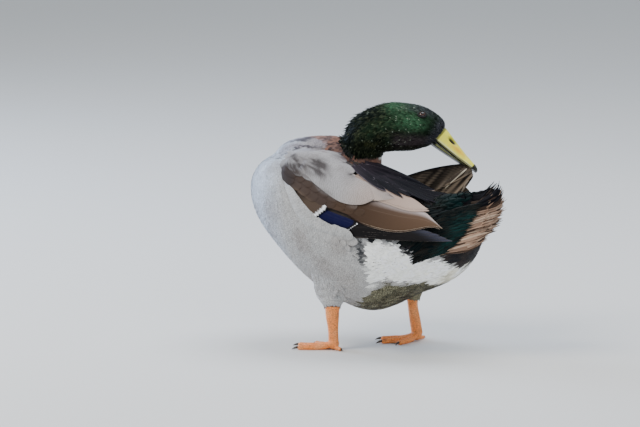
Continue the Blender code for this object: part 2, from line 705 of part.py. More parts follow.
def make_tail_core():
    """The fleshy root of the tail with the coverts that cover it. They run on from the rump, longest
    over the middle feathers, and thin out to their hind edge."""
    fan = np.linspace(-0.9, 0.9, 11)[None, :]
    s = np.linspace(0, 1, 9)[:, None]
    reach = 8 + s * (46 + 30 * np.exp(-((fan / 0.3) ** 2)))
    above = smooth_at(s, (0, 0.3, 0.45, 0.62, 0.82, 1), (34, 38, 36, 26, 11, 1.4)) * (0.3 + 0.7 * np.exp(-((fan / 0.55) ** 2)))
    below = smooth_at(s, (0, 0.5, 1), (10, 7, 1.2)) * (1 - 0.5 * (fan / 0.9) ** 4)
    return plate("core", tail_point(fan, reach, above), tail_point(fan, reach, -below))


TAIL_FEATHERS = 15
TAIL_HALF_WIDTH = 7.6


def tail_vane(fan, lift, hooked=0.0):
    """One tail feather. The middle feathers lie over the outer ones."""
    s = np.linspace(0, 1, 7)
    length = TAIL_LENGTH - TAIL_SHORTER * fan**2
    reach = 16 + s * (length - 16)
    wide = TAIL_HALF_WIDTH * np.interp(s, VANE_SHAPE_S, (0.6, 0.95, 1.0, 0.58, 0.12))
    over = unit(np.cross(tail_up(fan), tail_way(fan)))
    outer = np.sign(fan) if abs(fan) > 1e-6 else 1.0
    offset = np.array([-1.0, 1.0])
    tilt = -1.0 * offset * np.sign(np.dot(over, tail_way(fan + 0.05) - tail_way(fan))) * outer
    centre = TAIL_ROOT + reach[:, None] * tail_way(fan) + (lift + hooked * s**2)[:, None] * tail_up(fan)
    flat = centre[:, None, :] + (wide[:, None] * offset)[..., None] * over
    flat = flat + (tilt[None, :] * wide[:, None] / TAIL_HALF_WIDTH)[..., None] * tail_up(fan)
    half = VANE / 2 * tail_up(fan)
    return plate("vane", flat + half, flat - half)


def make_tail():
    vanes = []
    for fan in np.linspace(-1, 1, TAIL_FEATHERS):
        vanes.append(tail_vane(fan, 1.2 * (1 - abs(fan))))
    for reach, size, across in CURLS:
        vanes.append(curl(reach, size, across))
    return fused("tail", make_tail_core(), vanes)


CURLS = ((104, 9.5, 0.0), (112, 8.0, 8.0))  # x of each root, radius, place across


def curl(x, radius, across):
    """A drake's curled feather, which rises from the coverts and rolls forwards."""
    turn = np.radians([-62, -20, 30, 90, 150, 205])
    centre = np.array([x + 6, across, 186.0])
    out = joined(np.cos(turn), 0 * turn, np.sin(turn))
    path = centre + radius * out * np.array([1.9, 1.25, 1, 1, 1, 0.9])[:, None]
    return free_vane(path, 3.2, out, POINTED_TIP, rows=9)


COLOURS = {
    "torso": (0.48, 0.46, 0.43), "neck_lower": (0.20, 0.08, 0.04), "neck_upper": (0.02, 0.07, 0.04),
    "head": (0.015, 0.08, 0.04), "bill_upper": (0.72, 0.58, 0.10), "bill_lower": (0.35, 0.27, 0.07),
    "eye_left": (0.03, 0.012, 0.006), "eye_right": (0.03, 0.012, 0.006), "wing_left": (0.30, 0.22, 0.17),
    "wing_right": (0.27, 0.20, 0.16), "tail": (0.10, 0.08, 0.07), "thigh_left": (0.46, 0.44, 0.41),
    "thigh_right": (0.45, 0.43, 0.40), "shank_left": (0.85, 0.26, 0.05), "shank_right": (0.84, 0.25, 0.05),
    "foot_left": (0.80, 0.22, 0.04), "foot_right": (0.79, 0.21, 0.04),
}


def paint(obj):
    """A material of its own for the node."""
    material = bpy.data.materials.new(obj.name)
    material.use_nodes = True
    shader = material.node_tree.nodes["Principled BSDF"]
    shader.inputs["Base Color"].default_value = (*COLOURS[obj.name], 1.0)
    shader.inputs["Roughness"].default_value = 0.3 if obj.name.startswith("eye") else 0.75
    obj.data.materials.clear()
    obj.data.materials.append(material)


def clear_scene():
    for obj in list(bpy.data.objects):
        bpy.data.objects.remove(obj)


def main():
    clear_scene()
    torso = make_torso()
    neck_lower = make_neck_lower()
    head = make_head()
    upper, lower = make_bill(head)
    make_eyes(head)
    neck_upper = make_neck_upper()
    cut_clear(neck_lower, torso)
    cut_clear(neck_upper, head, neck_lower, torso)
    left = make_left_wing()
    right = make_right_wing()
    tail = make_tail()
    cut_clear(left, torso, neck_lower, neck_upper)
    cut_clear(right, torso, neck_lower, neck_upper, upper, lower)
    cut_clear(tail, torso, left, right)
    for side_name, outwards in (("left", 1), ("right", -1)):
        foot = make_foot("foot_" + side_name, side_name, outwards)
        thigh = tube("thigh_" + side_name, THIGHS[side_name], 14, 6)
        shank = tube("shank_" + side_name, SHANKS[side_name], 14, 7)
        cut_clear(thigh, torso)
        cut_clear(shank, foot, thigh, torso)
    for obj in bpy.data.objects:
        paint(obj)


if __name__ == "__main__":
    main()
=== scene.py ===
"""A mallard drake, life size, preening a lifted feather of its far wing, dressed in its plumage.

Points are worked out in millimetres in the rows' own frame and become metres where a mesh is made.
The bird faces -X, its left side is -Y and up is +Z.
"""

import functools
import math

import bpy
import numpy as np
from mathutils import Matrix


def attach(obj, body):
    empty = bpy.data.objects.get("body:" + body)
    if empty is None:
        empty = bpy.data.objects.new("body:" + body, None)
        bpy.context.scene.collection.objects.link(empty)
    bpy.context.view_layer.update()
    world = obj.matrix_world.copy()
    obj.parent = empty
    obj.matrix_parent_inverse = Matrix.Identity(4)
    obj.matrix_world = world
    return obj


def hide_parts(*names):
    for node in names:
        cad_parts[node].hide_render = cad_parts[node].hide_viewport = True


bl_info = {
    "name": "Preening Mallard Drake",
    "version": (1, 0, 0),
    "blender": (4, 5, 0),
    "location": "3D View > Sidebar > Drake",
    "description": "Builds a life-size preening mallard drake feather by feather",
    "category": "Add Mesh",
}

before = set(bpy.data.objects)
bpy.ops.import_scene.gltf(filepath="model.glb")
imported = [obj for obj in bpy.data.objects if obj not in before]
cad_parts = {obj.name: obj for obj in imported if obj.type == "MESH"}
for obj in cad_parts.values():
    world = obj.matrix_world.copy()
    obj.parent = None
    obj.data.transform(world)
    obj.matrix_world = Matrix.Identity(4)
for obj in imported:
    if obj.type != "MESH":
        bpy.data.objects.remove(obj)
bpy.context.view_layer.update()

MM = 0.001
ORIGIN = np.array([-1.3, 2.0, 0.0])  # the row frame's place of the final origin
LEFT, RIGHT = -1, 1


# Small maths


def linear(code):
    """Linear RGB of an sRGB hex colour: each channel through the sRGB curve."""
    value = int(code.lstrip("#"), 16)
    s = np.array([value >> 16 & 255, value >> 8 & 255, value & 255]) / 255
    return np.where(s <= 0.04045, s / 12.92, ((s + 0.055) / 1.055) ** 2.4)


def ease(t):
    """0 below 0, 1 above 1, and 3t^2 - 2t^3 between."""
    t = np.clip(t, 0, 1)
    return t * t * (3 - 2 * t)


def bump(t):
    """A bell: e to the minus t squared."""
    return np.exp(-np.square(t))


def unit(v):
    return v / np.maximum(np.linalg.norm(v, axis=-1, keepdims=True), 1e-12)


def dot(a, b):
    return np.einsum("...i,...i->...", a, b)[..., None]


def joined(x, y, z):
    return np.stack(np.broadcast_arrays(x, y, z), -1)


def blend(a, b, share):
    """a where the share is 0, b where it is 1."""
    share = np.asarray(share)[..., None]
    return a * (1 - share) + b * share


def blend_number(a, b, share):
    return a * (1 - share) + b * share


def painted(colour, *coats):
    """The colour under coats laid one after another, each a colour or its hex code, and its share."""
    for coat, share in coats:
        colour = blend(colour, linear(coat) if isinstance(coat, str) else coat, share)
    return colour


def through(rows, t, poles=False):
    """Catmull-Rom curve through rows at places t counted in rows; poles mirror it at its ends."""
    rows = np.asarray(rows, float)
    before, after = 2 * rows[0] - rows[1], 2 * rows[-1] - rows[-2]
    if poles:
        mirror = np.where(np.arange(rows.shape[1]) < 2, 1.0, -1.0)
        before, after = rows[1] * mirror, rows[-2] * mirror
    padded = np.vstack([before, rows, after])
    t = np.clip(np.asarray(t, float), 0, len(rows) - 1 - 1e-9)
    k = t.astype(int)
    f = (t - k)[..., None]
    a, b, c, d = (padded[k + i] for i in range(4))
    return b + 0.5 * f * (c - a + f * (2 * a - 5 * b + 4 * c - d + f * (3 * (b - c) + d - a)))


def smooth_at(x, places, values):
    """Cubic Hermite curve through (places, values), its slopes averaged from the neighbours."""
    places, values = np.asarray(places, float), np.asarray(values, float)
    slopes = np.gradient(values, places)
    x = np.clip(x, places[0], places[-1])
    k = np.clip(np.searchsorted(places, x, "right") - 1, 0, len(places) - 2)
    span = places[k + 1] - places[k]
    f = (x - places[k]) / span
    return (
        (1 + 2 * f) * (1 - f) ** 2 * values[k]
        + f * (1 - f) ** 2 * span * slopes[k]
        + f * f * (3 - 2 * f) * values[k + 1]
        + f * f * (f - 1) * span * slopes[k + 1]
    )


def mottle(points, size, seed):
    """Smooth noise from 0 to 1: hashed values at the corners of a lattice of that size, eased between."""
    p = np.asarray(points, float) / size + 57.3 * (seed + 1)
    cell = np.floor(p).astype(np.int64)
    f = ease(p - cell)
    total = np.zeros(p.shape[:-1])
    for corner in range(8):
        step = np.array([corner & 1, corner >> 1 & 1, corner >> 2 & 1])
        n = cell + step
        h = n[..., 0] * 73856093 ^ n[..., 1] * 19349663 ^ n[..., 2] * 83492791 ^ (seed * 2654435761)
        h = (h ^ (h >> 13)) * 1274126177
        value = ((h ^ (h >> 16)) & 0xFFFF) / 65535
        total += value * np.prod(np.where(step, f, 1 - f), -1)
    return total


# The bird's form, the same rows as its solids

TORSO = [
    (-155, 177, 0, 0, 0), (-144, 177, 37, 28, 38), (-110, 171, 66, 48, 68), (-60, 148, 77, 69, 85),
    (0, 130, 77, 67, 89), (55, 125, 66, 54, 61), (98, 127, 46, 42, 43), (124, 133, 24, 25, 24),
    (137, 138, 0, 0, 0),
]  # x, centre height, half width, height above the centre, depth below it
FLANK_EDGE_X = (-115, -98, -70, -37, 4, 24, 60)
FLANK_EDGE_DEG = (22, 38, 61, 78, 90, 98, 118)
FLANK_RISE, FLANK_FADE_DEG = 5.0, 62

SHELL = np.array([
    (-112, 171, 64, 55), (-60, 148, 78, 70), (0, 131, 79, 68),
    (60, 125, 69, 57), (110, 127, 55, 47), (142, 130, 46, 42),
], float)  # x, centre height, half width, height of the sheet that the folded wings lie on
ARC = 74.0
CORE_START, CORE_END = -100, 74
WING_TOP_DEG, WING_LOW_DEG = (36, 5, 5, 16, 40), (44, 82, 85, 80, 66)
WING_RISE = (3.0, 6.0, 5.4, 4.2, 2.0)

FOLD = [(-134, -2, 186, 38, 38), (-100, 10, 193, 40, 42), (-62, 25, 198, 37, 37), (-22, 36, 190, 30, 30)]
POST = [(-32, 31, 168, 24, 24), (-33.5, 30.5, 190, 23.5, 23.5), (-33.8, 30, 214, 23.5, 22.5)]
POST_ACROSS = (0.4, -0.9, 0)
THIGHS = {
    "left": [(-30, -38, 90, 27, 20), (-32, -43, 66, 22, 16), (-29, -48, 50.5, 9.0, 8.4)],
    "right": [(30, 42, 86, 16, 14), (26, 46, 66, 13, 11), (22.5, 48, 52.5, 8.6, 8.0)],
}
SHANKS = {
    "left": [
        (-29, -48, 51, 7.8, 7.4), (-29, -48, 40, 8.0, 7.2), (-28, -48, 24, 6.2, 5.6),
        (-27.4, -48, 8, 6.0, 5.4)
    ],
    "right": [
        (22.5, 48, 52, 6.4, 6.8), (23.2, 48, 40, 5.8, 6.2), (26.0, 48, 24, 6.6, 5.8),
        (29.0, 48, 8, 6.8, 5.8)
    ]
}

HEAD_TURN, HEAD_PLACE, HEAD_ROLL = math.radians(24), np.array([0.0, 45.0, 0.0]), math.radians(-16)
NECK_AND_HEAD = [
    (-37.0, 214.0, 0, 92, 24.0, 22.5), (-35.5, 227.0, 0, 82, 24.5, 23.0), (-27.5, 239.0, 0, 45, 27.0, 24.0),
    (-5.5, 247.5, 0, 4, 28.6, 23.0), (8.0, 248.0, 0, 0, 28.4, 21.5), (27.0, 247.0, 0, -8, 26.5, 20.8),
    (42.0, 243.0, 0, -26, 21.5, 17.0), (50.0, 238.5, 0, -36, 15.5, 12.5), (55.0, 235.0, 0, -40, 0, 0),
]  # forward, height, side, tilt of the section, half depth, half width
STATIONS = len(NECK_AND_HEAD) - 1
CHUNK = 20000  # points set against the head's sections at a time
EYE_STATION, EYE_ANGLE, EYE_RADIUS, EYE_DEPTH = 5.15, 55.0, 4.7, 3.2


def torso_surface(place, degrees):
    """Ellipses along the torso's rows, taller or shorter below their centres, with the flank's rise
    added beside the wing; degrees run down from the top line, left side positive."""
    degrees = (np.asarray(degrees, float) + 180) % 360 - 180
    x, z, wide, above, below = np.moveaxis(through(TORSO, place, poles=True), -1, 0)
    angle = np.radians(degrees)
    tall = np.where(np.cos(angle) > 0, above, below)
    down = np.abs(degrees) - np.interp(x, FLANK_EDGE_X, FLANK_EDGE_DEG)
    rise = FLANK_RISE * ease(down / 7) * (1 - ease((down - 8) / FLANK_FADE_DEG))
    rise = rise * ease((x + 147) / 30) * ease((x - 52) / -42)
    return joined(x, -(wide + rise) * np.sin(angle), z + (tall + rise * 0.3) * np.cos(angle))


def tube_surface(rows, s, degrees, across=(0.0, 1.0, 0.0), swell=1.0):
    """Ellipses at right angles to a curve through rows of (x, y, z, half depth, half width)."""
    s, degrees = np.broadcast_arrays(np.asarray(s, float), np.asarray(degrees, float))
    last = len(rows) - 1
    row = through(rows, s * last)
    step = unit(
        through(rows, np.clip(s + 0.01, 0, 1) * last)[..., :3]
        - through(rows, np.clip(s - 0.01, 0, 1) * last)[..., :3]
    )
    deep = unit(np.cross(step, np.asarray(across, float)))
    wide = np.cross(deep, step)
    angle = np.radians(degrees)[..., None]
    swell = np.asarray(swell)[..., None] if np.ndim(swell) else swell
    return (
        row[..., :3] + swell * (row[..., 3:4] * np.cos(angle) * deep + row[..., 4:5] * np.sin(angle) * wide)
    )


def fold_surface(s, degrees):
    """The crop's fold over the right shoulder: a tube closed round at both ends."""
    s = np.asarray(s, float)
    swell = np.sqrt(np.clip(1 - (2 * s - 1) ** 4, 0, 1))
    return tube_surface(FOLD, s, degrees, swell=swell)


def post_surface(s, degrees):
    return tube_surface(POST, s, degrees, POST_ACROSS)


def head_axes():
    """Forward, up and towards the bird's left of the skull's upright plane."""
    forward = np.array([math.cos(HEAD_TURN), math.sin(HEAD_TURN), 0.0])
    return forward, np.array([0.0, 0.0, 1.0]), np.array([math.sin(HEAD_TURN), -math.cos(HEAD_TURN), 0.0])


def head_place(forward, up, side=0.0):
    f, u, s = head_axes()
    return (
        HEAD_PLACE + np.multiply.outer(forward, f) + np.multiply.outer(up, u) + np.multiply.outer(side, s)
    )


def head_frame(station):
    """Centre, crownward axis, sideways axis and the two half sizes of the section at a station."""
    station = np.asarray(station, float)
    row = through(NECK_AND_HEAD, station)
    f, u, s = head_axes()
    tilt = np.radians(row[..., 3:4])
    roll = HEAD_ROLL * ease(station[..., None] / 4)
    deep = -np.sin(tilt) * f + np.cos(tilt) * u
    up = np.cos(roll) * deep + np.sin(roll) * s
    wide = np.cos(roll) * s - np.sin(roll) * deep
    return head_place(row[..., 0], row[..., 1], row[..., 2]), up, wide, row[..., 4:5], row[..., 5:6]


def head_surface(station, degrees):
    """Ellipses of the neck and head; degrees run from the crown, positive to the bird's left."""
    station, degrees = np.broadcast_arrays(np.asarray(station, float), np.asarray(degrees, float))
    centre, up, wide, depth, width = head_frame(station)
    angle = np.radians(degrees)[..., None]
    return centre + depth * np.cos(angle) * up + width * np.sin(angle) * wide


def head_coordinates(points):
    """Station and degrees of points near the head, from the nearest of many section centres, and
    their distance from it in units of the section's size."""
    stations = np.linspace(0, STATIONS - 0.02, 121)
    centre, up, wide, depth, width = head_frame(stations)
    points = np.asarray(points, float)
    along = np.cross(up, wide)
    k = np.empty(len(points), int)
    for start in range(0, len(points), CHUNK):
        away = points[start:start + CHUNK, None, :] - centre[None]
        offset = np.abs(np.einsum("nkj,kj->nk", away, along))
        k[start:start + CHUNK] = np.argmin(offset + 0.35 * np.linalg.norm(away, axis=-1), axis=1)
    off = points - centre[k]
    a = dot(off, up[k])[:, 0] / np.maximum(depth[k, 0], 4)
    b = dot(off, wide[k])[:, 0] / np.maximum(width[k, 0], 4)
    return stations[k], np.degrees(np.arctan2(b, a)), np.hypot(a, b)


TORSO_PLACES = np.linspace(0, len(TORSO) - 1, 700)
TORSO_ROWS = through(TORSO, TORSO_PLACES, poles=True)


def torso_place(x):
    """Place along the torso's rows where they reach that x."""
    return np.interp(x, TORSO_ROWS[:, 0], TORSO_PLACES)


def torso_coordinates(points):
    """x and the degrees down from the torso's top line, left side positive."""
    x = points[..., 0]
    z, wide, above, below = (np.interp(x, TORSO_ROWS[:, 0], values) for values in TORSO_ROWS.T[1:])
    up = points[..., 2] - z
    tall = np.maximum(np.where(up > 0, above, below), 3)
    return x, np.degrees(np.arctan2(-points[..., 1] / np.maximum(wide, 3), up / tall))


def shell_sizes(x):
    """Centre height, half width and height of the folded wings' sheet at x."""
    return (smooth_at(x, SHELL[:, 0], values) for values in SHELL.T[1:])


def shell_point(side, x, across, lift):
    """The folded wing's sheet: half ellipses along x, across in millimetres down from the top line."""
    z, wide, tall = shell_sizes(x)
    angle = across / ARC
    return joined(x, side * (wide + lift) * np.sin(angle), z + (tall + lift) * np.cos(angle))


def shell_degrees(points):
    """Degrees down from the top line of the wings' sheet, left side positive."""
    z, wide, tall = shell_sizes(points[..., 0])
    return np.degrees(np.arctan2(-points[..., 1] / wide, (points[..., 2] - z) / tall))


def wing_edges(x):
    """Degrees down from the top line of the folded wing's upper and lower edge at x."""
    knots = np.linspace(CORE_START, CORE_END, len(WING_TOP_DEG))
    return smooth_at(x, knots, WING_TOP_DEG), smooth_at(x, knots, WING_LOW_DEG)


# Meshes


def new_mesh(name, points, faces):
    """A mesh from points in millimetres and a list of index arrays with 3 or 4 corners a face."""
    faces = [np.asarray(f, np.int64) for f in faces if len(f)]
    corners = np.concatenate([f.ravel() for f in faces]).astype(np.int32)
    sizes = np.concatenate([np.full(len(f), f.shape[1]) for f in faces])
    starts = (np.cumsum(sizes) - sizes).astype(np.int32)
    mesh = bpy.data.meshes.new(name)
    mesh.vertices.add(len(points))
    mesh.vertices.foreach_set("co", to_metres(points))
    mesh.loops.add(len(corners))
    mesh.loops.foreach_set("vertex_index", corners)
    mesh.polygons.add(len(sizes))
    mesh.polygons.foreach_set("loop_start", starts)
    mesh.update(calc_edges=True)
    mesh.shade_smooth()
    return mesh, corners


def to_metres(points):
    """Points in millimetres as the flat list of metres that a mesh takes."""
    return ((points - ORIGIN) * MM).astype(np.float32).ravel()


def read_vectors(rows, key):
    """The vectors that rows of a mesh keep under a key."""
    values = np.empty(len(rows) * 3, np.float32)
    rows.foreach_get(key, values)
    return values.reshape(-1, 3)


def add_object(name, mesh):
    obj = bpy.data.objects.new(name, mesh)
    bpy.context.scene.collection.objects.link(obj)
    return obj


def add_piece(mesh, material, slot, *replaced):
    """Makes a finished mesh a piece of the bird, attached to its root, in place of the replaced nodes; the
    slot is not used.
    """
    mesh.materials.append(material)
    obj = add_object(mesh.name, mesh)
    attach(obj, "root")
    if replaced:
        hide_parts(*replaced)


def add_values(mesh, name, kind, values):
    """A value for each point of the mesh: FLOAT, FLOAT_VECTOR or FLOAT_COLOR."""
    layer = mesh.attributes.new(name, kind, "POINT")
    key = {"FLOAT": "value", "FLOAT_VECTOR": "vector", "FLOAT_COLOR": "color"}[kind]
    layer.data.foreach_set(key, np.ascontiguousarray(values, np.float32).ravel())


def add_map(mesh, name, corners, places):
    """A UV map from one place for each point of the mesh."""
    layer = mesh.uv_layers.new(name=name)
    layer.data.foreach_set("uv", np.ascontiguousarray(places[corners], np.float32).ravel())


def rgba(colour, alpha):
    colour = np.asarray(colour, float)
    alpha = np.asarray(alpha, float)[..., None]
    return np.concatenate([colour, np.broadcast_to(alpha, colour.shape[:-1] + (1,))], -1)


def ring_faces(count, sides):
    """Quads between rings of one length, closed round, and a fan in the ring at each end."""
    i, j = np.meshgrid(np.arange(count - 1), np.arange(sides), indexing="ij")
    p, q = (i * sides + j).ravel(), (i * sides + (j + 1) % sides).ravel()
    quads = np.stack([p, q, q + sides, p + sides], -1)
    hub = np.arange(1, sides - 1)
    first = np.stack([0 * hub, hub + 1, hub], -1)
    last = np.stack([0 * hub, hub, hub + 1], -1) + (count - 1) * sides
    return [quads, first, last]


def turned_out(points, faces):
    """The faces, turned round if the closed shape they make has a negative volume."""
    volume = 0.0
    for f in faces:
        a, b, c = points[f[:, 0]], points[f[:, 1]], points[f[:, 2]]
        volume += np.einsum("ij,ij->i", a, np.cross(b, c)).sum()
        if f.shape[1] == 4:
            d = points[f[:, 3]]
            volume += np.einsum("ij,ij->i", a, np.cross(c, d)).sum()
    return faces if volume > 0 else [f[:, ::-1] for f in faces]


def closed_form(rings):
    """Points and outward faces of the closed form through rings of points (rings, sides, 3)."""
    points = rings.reshape(-1, 3)
    return points, turned_out(points, ring_faces(*rings.shape[:2]))


def tube_mesh(name, rings):
    return new_mesh(name, *closed_form(rings))[0]


def fused_mesh(name, forms, grain, rounds):
    """One smooth mesh round closed forms that run into each other: remeshed in voxels of that grain,
    then smoothed that many rounds."""
    starts = np.cumsum([0] + [len(points) for points, _ in forms])
    faces = [f + start for (_, made), start in zip(forms, starts) for f in made]
    rough = add_object("rough", new_mesh("rough", np.vstack([points for points, _ in forms]), faces)[0])
    remesh = rough.modifiers.new("remesh", "REMESH")
    remesh.mode, remesh.voxel_size = "VOXEL", grain
    smooth = rough.modifiers.new("smooth", "SMOOTH")
    smooth.factor, smooth.iterations = 0.5, rounds
    mesh = bpy.data.meshes.new_from_object(rough.evaluated_get(bpy.context.evaluated_depsgraph_get()))
    bpy.data.objects.remove(rough)
    mesh.name = name
    return mesh


def plate_faces(rows, columns):
    """Faces of a closed plate: two like grids of points, the second after the first, with a rim."""
    i, j = np.meshgrid(np.arange(rows - 1), np.arange(columns - 1), indexing="ij")
    p = (i * columns + j).ravel()
    top = np.stack([p, p + 1, p + columns + 1, p + columns], -1)
    border = np.concatenate([
        np.arange(columns), np.arange(1, rows) * columns + columns - 1,
        (rows - 1) * columns + np.arange(columns - 2, -1, -1), np.arange(rows - 2, 0, -1) * columns,
    ])
    following = np.roll(border, -1)
    under = rows * columns
    wall = np.stack([following, border, border + under, following + under], -1)
    return np.vstack([top, top[:, ::-1] + under, wall])


def lens_faces(rows, columns):
    """Quads and triangles of one small closed feather: a grid above, a strip between its two edges
    below, and a fan across each end."""
    i, j = np.meshgrid(np.arange(rows - 1), np.arange(columns - 1), indexing="ij")
    p = (i * columns + j).ravel()
    top = np.stack([p, p + 1, p + columns + 1, p + columns], -1)
    a = np.arange(rows - 1) * columns
    b = a + columns - 1
    below = np.stack([a, a + columns, b + columns, b], -1)
    k = np.arange(1, columns - 1)
    root = np.stack([0 * k, k + 1, k], -1)
    tip = np.stack([0 * k, k, k + 1], -1) + (rows - 1) * columns
    return np.vstack([top, below]), np.vstack([root, tip])


def repeated(faces, copies, step):
    """The faces of one shape repeated for each copy, whose points follow on in steps."""
    return (np.arange(copies)[:, None, None] * step + faces[None]).reshape(-1, faces.shape[1])


# Materials


MATH = "ShaderNodeMath"
RGBA = dict(data_type="RGBA")  # a mix of colours: share in input 0, colours in 6 and 7, output 2
BARB_GAP, BARB_RIDGE, BAR_GAP = 1.2, 0.06, 2.5  # millimetres


def set_inputs(tree, node, values):
    """Fills inputs, given by name or number or in order: from a socket, from a node's first output or
    with a value."""
    for key, value in values.items() if isinstance(values, dict) else enumerate(values):
        if isinstance(value, bpy.types.Node):
            value = value.outputs[0]
        if isinstance(value, bpy.types.NodeSocket):
            tree.links.new(value, node.inputs[key])
        else:
            node.inputs[key].default_value = value


def add_node(tree, kind, values=(), **settings):
    """A node of that kind with its settings and inputs."""
    made = tree.nodes.new(kind)
    for key, value in settings.items():
        setattr(made, key, value)
    set_inputs(tree, made, values)
    return made


def new_material(name, **sockets):
    """A Principled material whose constant sockets are set by name."""
    material = bpy.data.materials.new(name)
    material.use_nodes = True
    shader = material.node_tree.nodes["Principled BSDF"]
    for key, value in sockets.items():
        socket = shader.inputs[key.replace("_", " ").title().replace("Ior", "IOR")]
        socket.default_value = (*value, 1.0) if np.ndim(value) else value
    return material, material.node_tree, shader


def grained_material(name, scale, detail, strength, depth, shades=None, **sockets):
    """A Principled material with a fine noise on Object coordinates as its relief, depth in metres.
    The point colours, where there are shades, are multiplied by the noise from the first to the
    second shade."""
    material, tree, shader = new_material(name, **sockets)
    place = add_node(tree, "ShaderNodeTexCoord").outputs["Object"]
    noise = add_node(tree, "ShaderNodeTexNoise", {"Vector": place, "Scale": scale, "Detail": detail})
    relief = add_node(tree, "ShaderNodeBump", {"Strength": strength, "Distance": depth, "Height": noise})
    set_inputs(tree, shader, {"Normal": relief})
    if shades:
        shade = add_node(tree, "ShaderNodeMapRange", {0: noise, 3: shades[0], 4: shades[1]})
        grey = add_node(tree, "ShaderNodeCombineColor", {0: shade, 1: shade, 2: shade})
        colour = add_node(tree, "ShaderNodeAttribute", attribute_name="Col")
        both = add_node(tree, "ShaderNodeMix", {0: 1.0, 6: colour, 7: grey}, blend_type="MULTIPLY", **RGBA)
        set_inputs(tree, shader, {"Base Color": both.outputs[2]})
    return material


def plumage_material(name, streak=0.10, bars=0.25, shaft=0.25, **sockets):
    """Keratin barbs lying side by side: a soft, faintly streaked surface. The colour comes from the
    point colours, whose alpha gives the strength of the fine wavy bars that cross each feather. The
    Vane map counts millimetres along and across the feather, a hundredth for each; the barbs run
    out from the shaft at a slant, drawn 1.2 mm apart, and the bars 2.5 mm apart, because real ones
    are too fine to show."""
    material, tree, shader = new_material(name, **sockets)
    colour, edge, rim, rough = (
        add_node(tree, "ShaderNodeAttribute", attribute_name=layer)
        for layer in ("Col", "Edge", "Rim", "Rough")
    )
    place = add_node(tree, "ShaderNodeUVMap", uv_map="Vane")
    split = add_node(tree, "ShaderNodeSeparateXYZ", [place])
    along = add_node(tree, MATH, (split, 100.0), operation="MULTIPLY")
    across = add_node(tree, MATH, (split.outputs[1], 100.0, -50.0), operation="MULTIPLY_ADD")
    across = add_node(tree, MATH, [across], operation="ABSOLUTE")
    wave = add_node(tree, "ShaderNodeTexNoise", {"Vector": place, "Scale": 28.0, "Detail": 2.0})
    slant = add_node(tree, MATH, (across, 1.3, along), operation="MULTIPLY_ADD")
    turn = add_node(tree, MATH, (slant, 2 * math.pi / BARB_GAP), operation="MULTIPLY")
    turn = add_node(tree, MATH, (wave, 9.0, turn), operation="MULTIPLY_ADD")
    barbs = add_node(tree, MATH, [turn], operation="SINE")
    crossing = add_node(tree, MATH, (across, -0.45, along), operation="MULTIPLY_ADD")
    turn = add_node(tree, MATH, (crossing, 2 * math.pi / BAR_GAP), operation="MULTIPLY")
    turn = add_node(tree, MATH, (wave, 16.0, turn), operation="MULTIPLY_ADD")
    bar = add_node(tree, MATH, [turn], operation="SINE")
    bar = add_node(tree, MATH, (bar, 0.5, 0.5), operation="MULTIPLY_ADD")
    bar = add_node(tree, MATH, (bar, bars), operation="MULTIPLY")
    bar = add_node(tree, MATH, (bar, colour.outputs["Alpha"]), operation="MULTIPLY")
    shade = add_node(tree, MATH, (barbs, streak, 1.0), operation="MULTIPLY_ADD")
    shade = add_node(tree, MATH, (shade, bar), operation="SUBTRACT")
    width = add_node(tree, MATH, (edge.outputs["Alpha"], 4.0), operation="MULTIPLY")
    near = add_node(tree, MATH, (width, 0.5), operation="MULTIPLY")
    reach = add_node(tree, MATH, (wave, 0.5, rim.outputs["Fac"]), operation="MULTIPLY_ADD")
    margin = add_node(
        tree, "ShaderNodeMapRange", (reach, near, width, 1.0, 0.0), interpolation_type="SMOOTHSTEP"
    )
    body = add_node(tree, "ShaderNodeMix", {0: margin, 6: colour, 7: edge}, **RGBA).outputs[2]
    quill = add_node(tree, "ShaderNodeMapRange", (across, 0.15, 0.55, shaft, 0.0))
    body = add_node(tree, "ShaderNodeMix", {0: quill, 6: body, 7: edge}, **RGBA).outputs[2]
    grey = add_node(tree, "ShaderNodeCombineColor", (shade, shade, shade))
    both = add_node(tree, "ShaderNodeMix", {0: 1.0, 6: body, 7: grey}, blend_type="MULTIPLY", **RGBA)
    relief = add_node(
        tree, "ShaderNodeBump", {"Strength": 0.6, "Distance": BARB_RIDGE * MM, "Height": barbs}
    )
    set_inputs(
        tree, shader, {"Base Color": both.outputs[2], "Roughness": rough.outputs["Fac"], "Normal": relief}
    )
    return material


def get_material(name, maker, **settings):
    return bpy.data.materials.get(name) or maker(name, **settings)


# Markings: one formula for skin and coat

BAKE_TORSO, BAKE_HEAD = (0.02, 0.02, 0.94, 0.52), (0.02, 0.58, 0.70, 0.40)  # corner, width, height
POST_AXIS = (-33.6, 30.3)  # x and y of the neck's upright root
UPPER_EDGE_X, UPPER_EDGE_DEG = (42, 55, 66.5, 82, 99, 112), (82, 80, 91, 101, 107, 110)  # white under black


def bake_places(points):
    """The skin unwrapped: the torso rolled out by its degrees and length in the lower part of the
    square, the neck and head by theirs in the upper part."""
    station, turn, near = head_coordinates(points)
    head = (near < 1.45) & (points[:, 2] > 209)
    x, degrees = torso_coordinates(points)
    on_torso = np.stack([degrees / 360 + 0.5, (x + 160) / 300], -1)
    on_head = np.stack([turn / 360 + 0.5, station / STATIONS], -1)
    low = np.array(BAKE_TORSO[:2]) + on_torso * BAKE_TORSO[2:]
    high = np.array(BAKE_HEAD[:2]) + on_head * BAKE_HEAD[2:]
    return np.where(head[:, None], high, low)


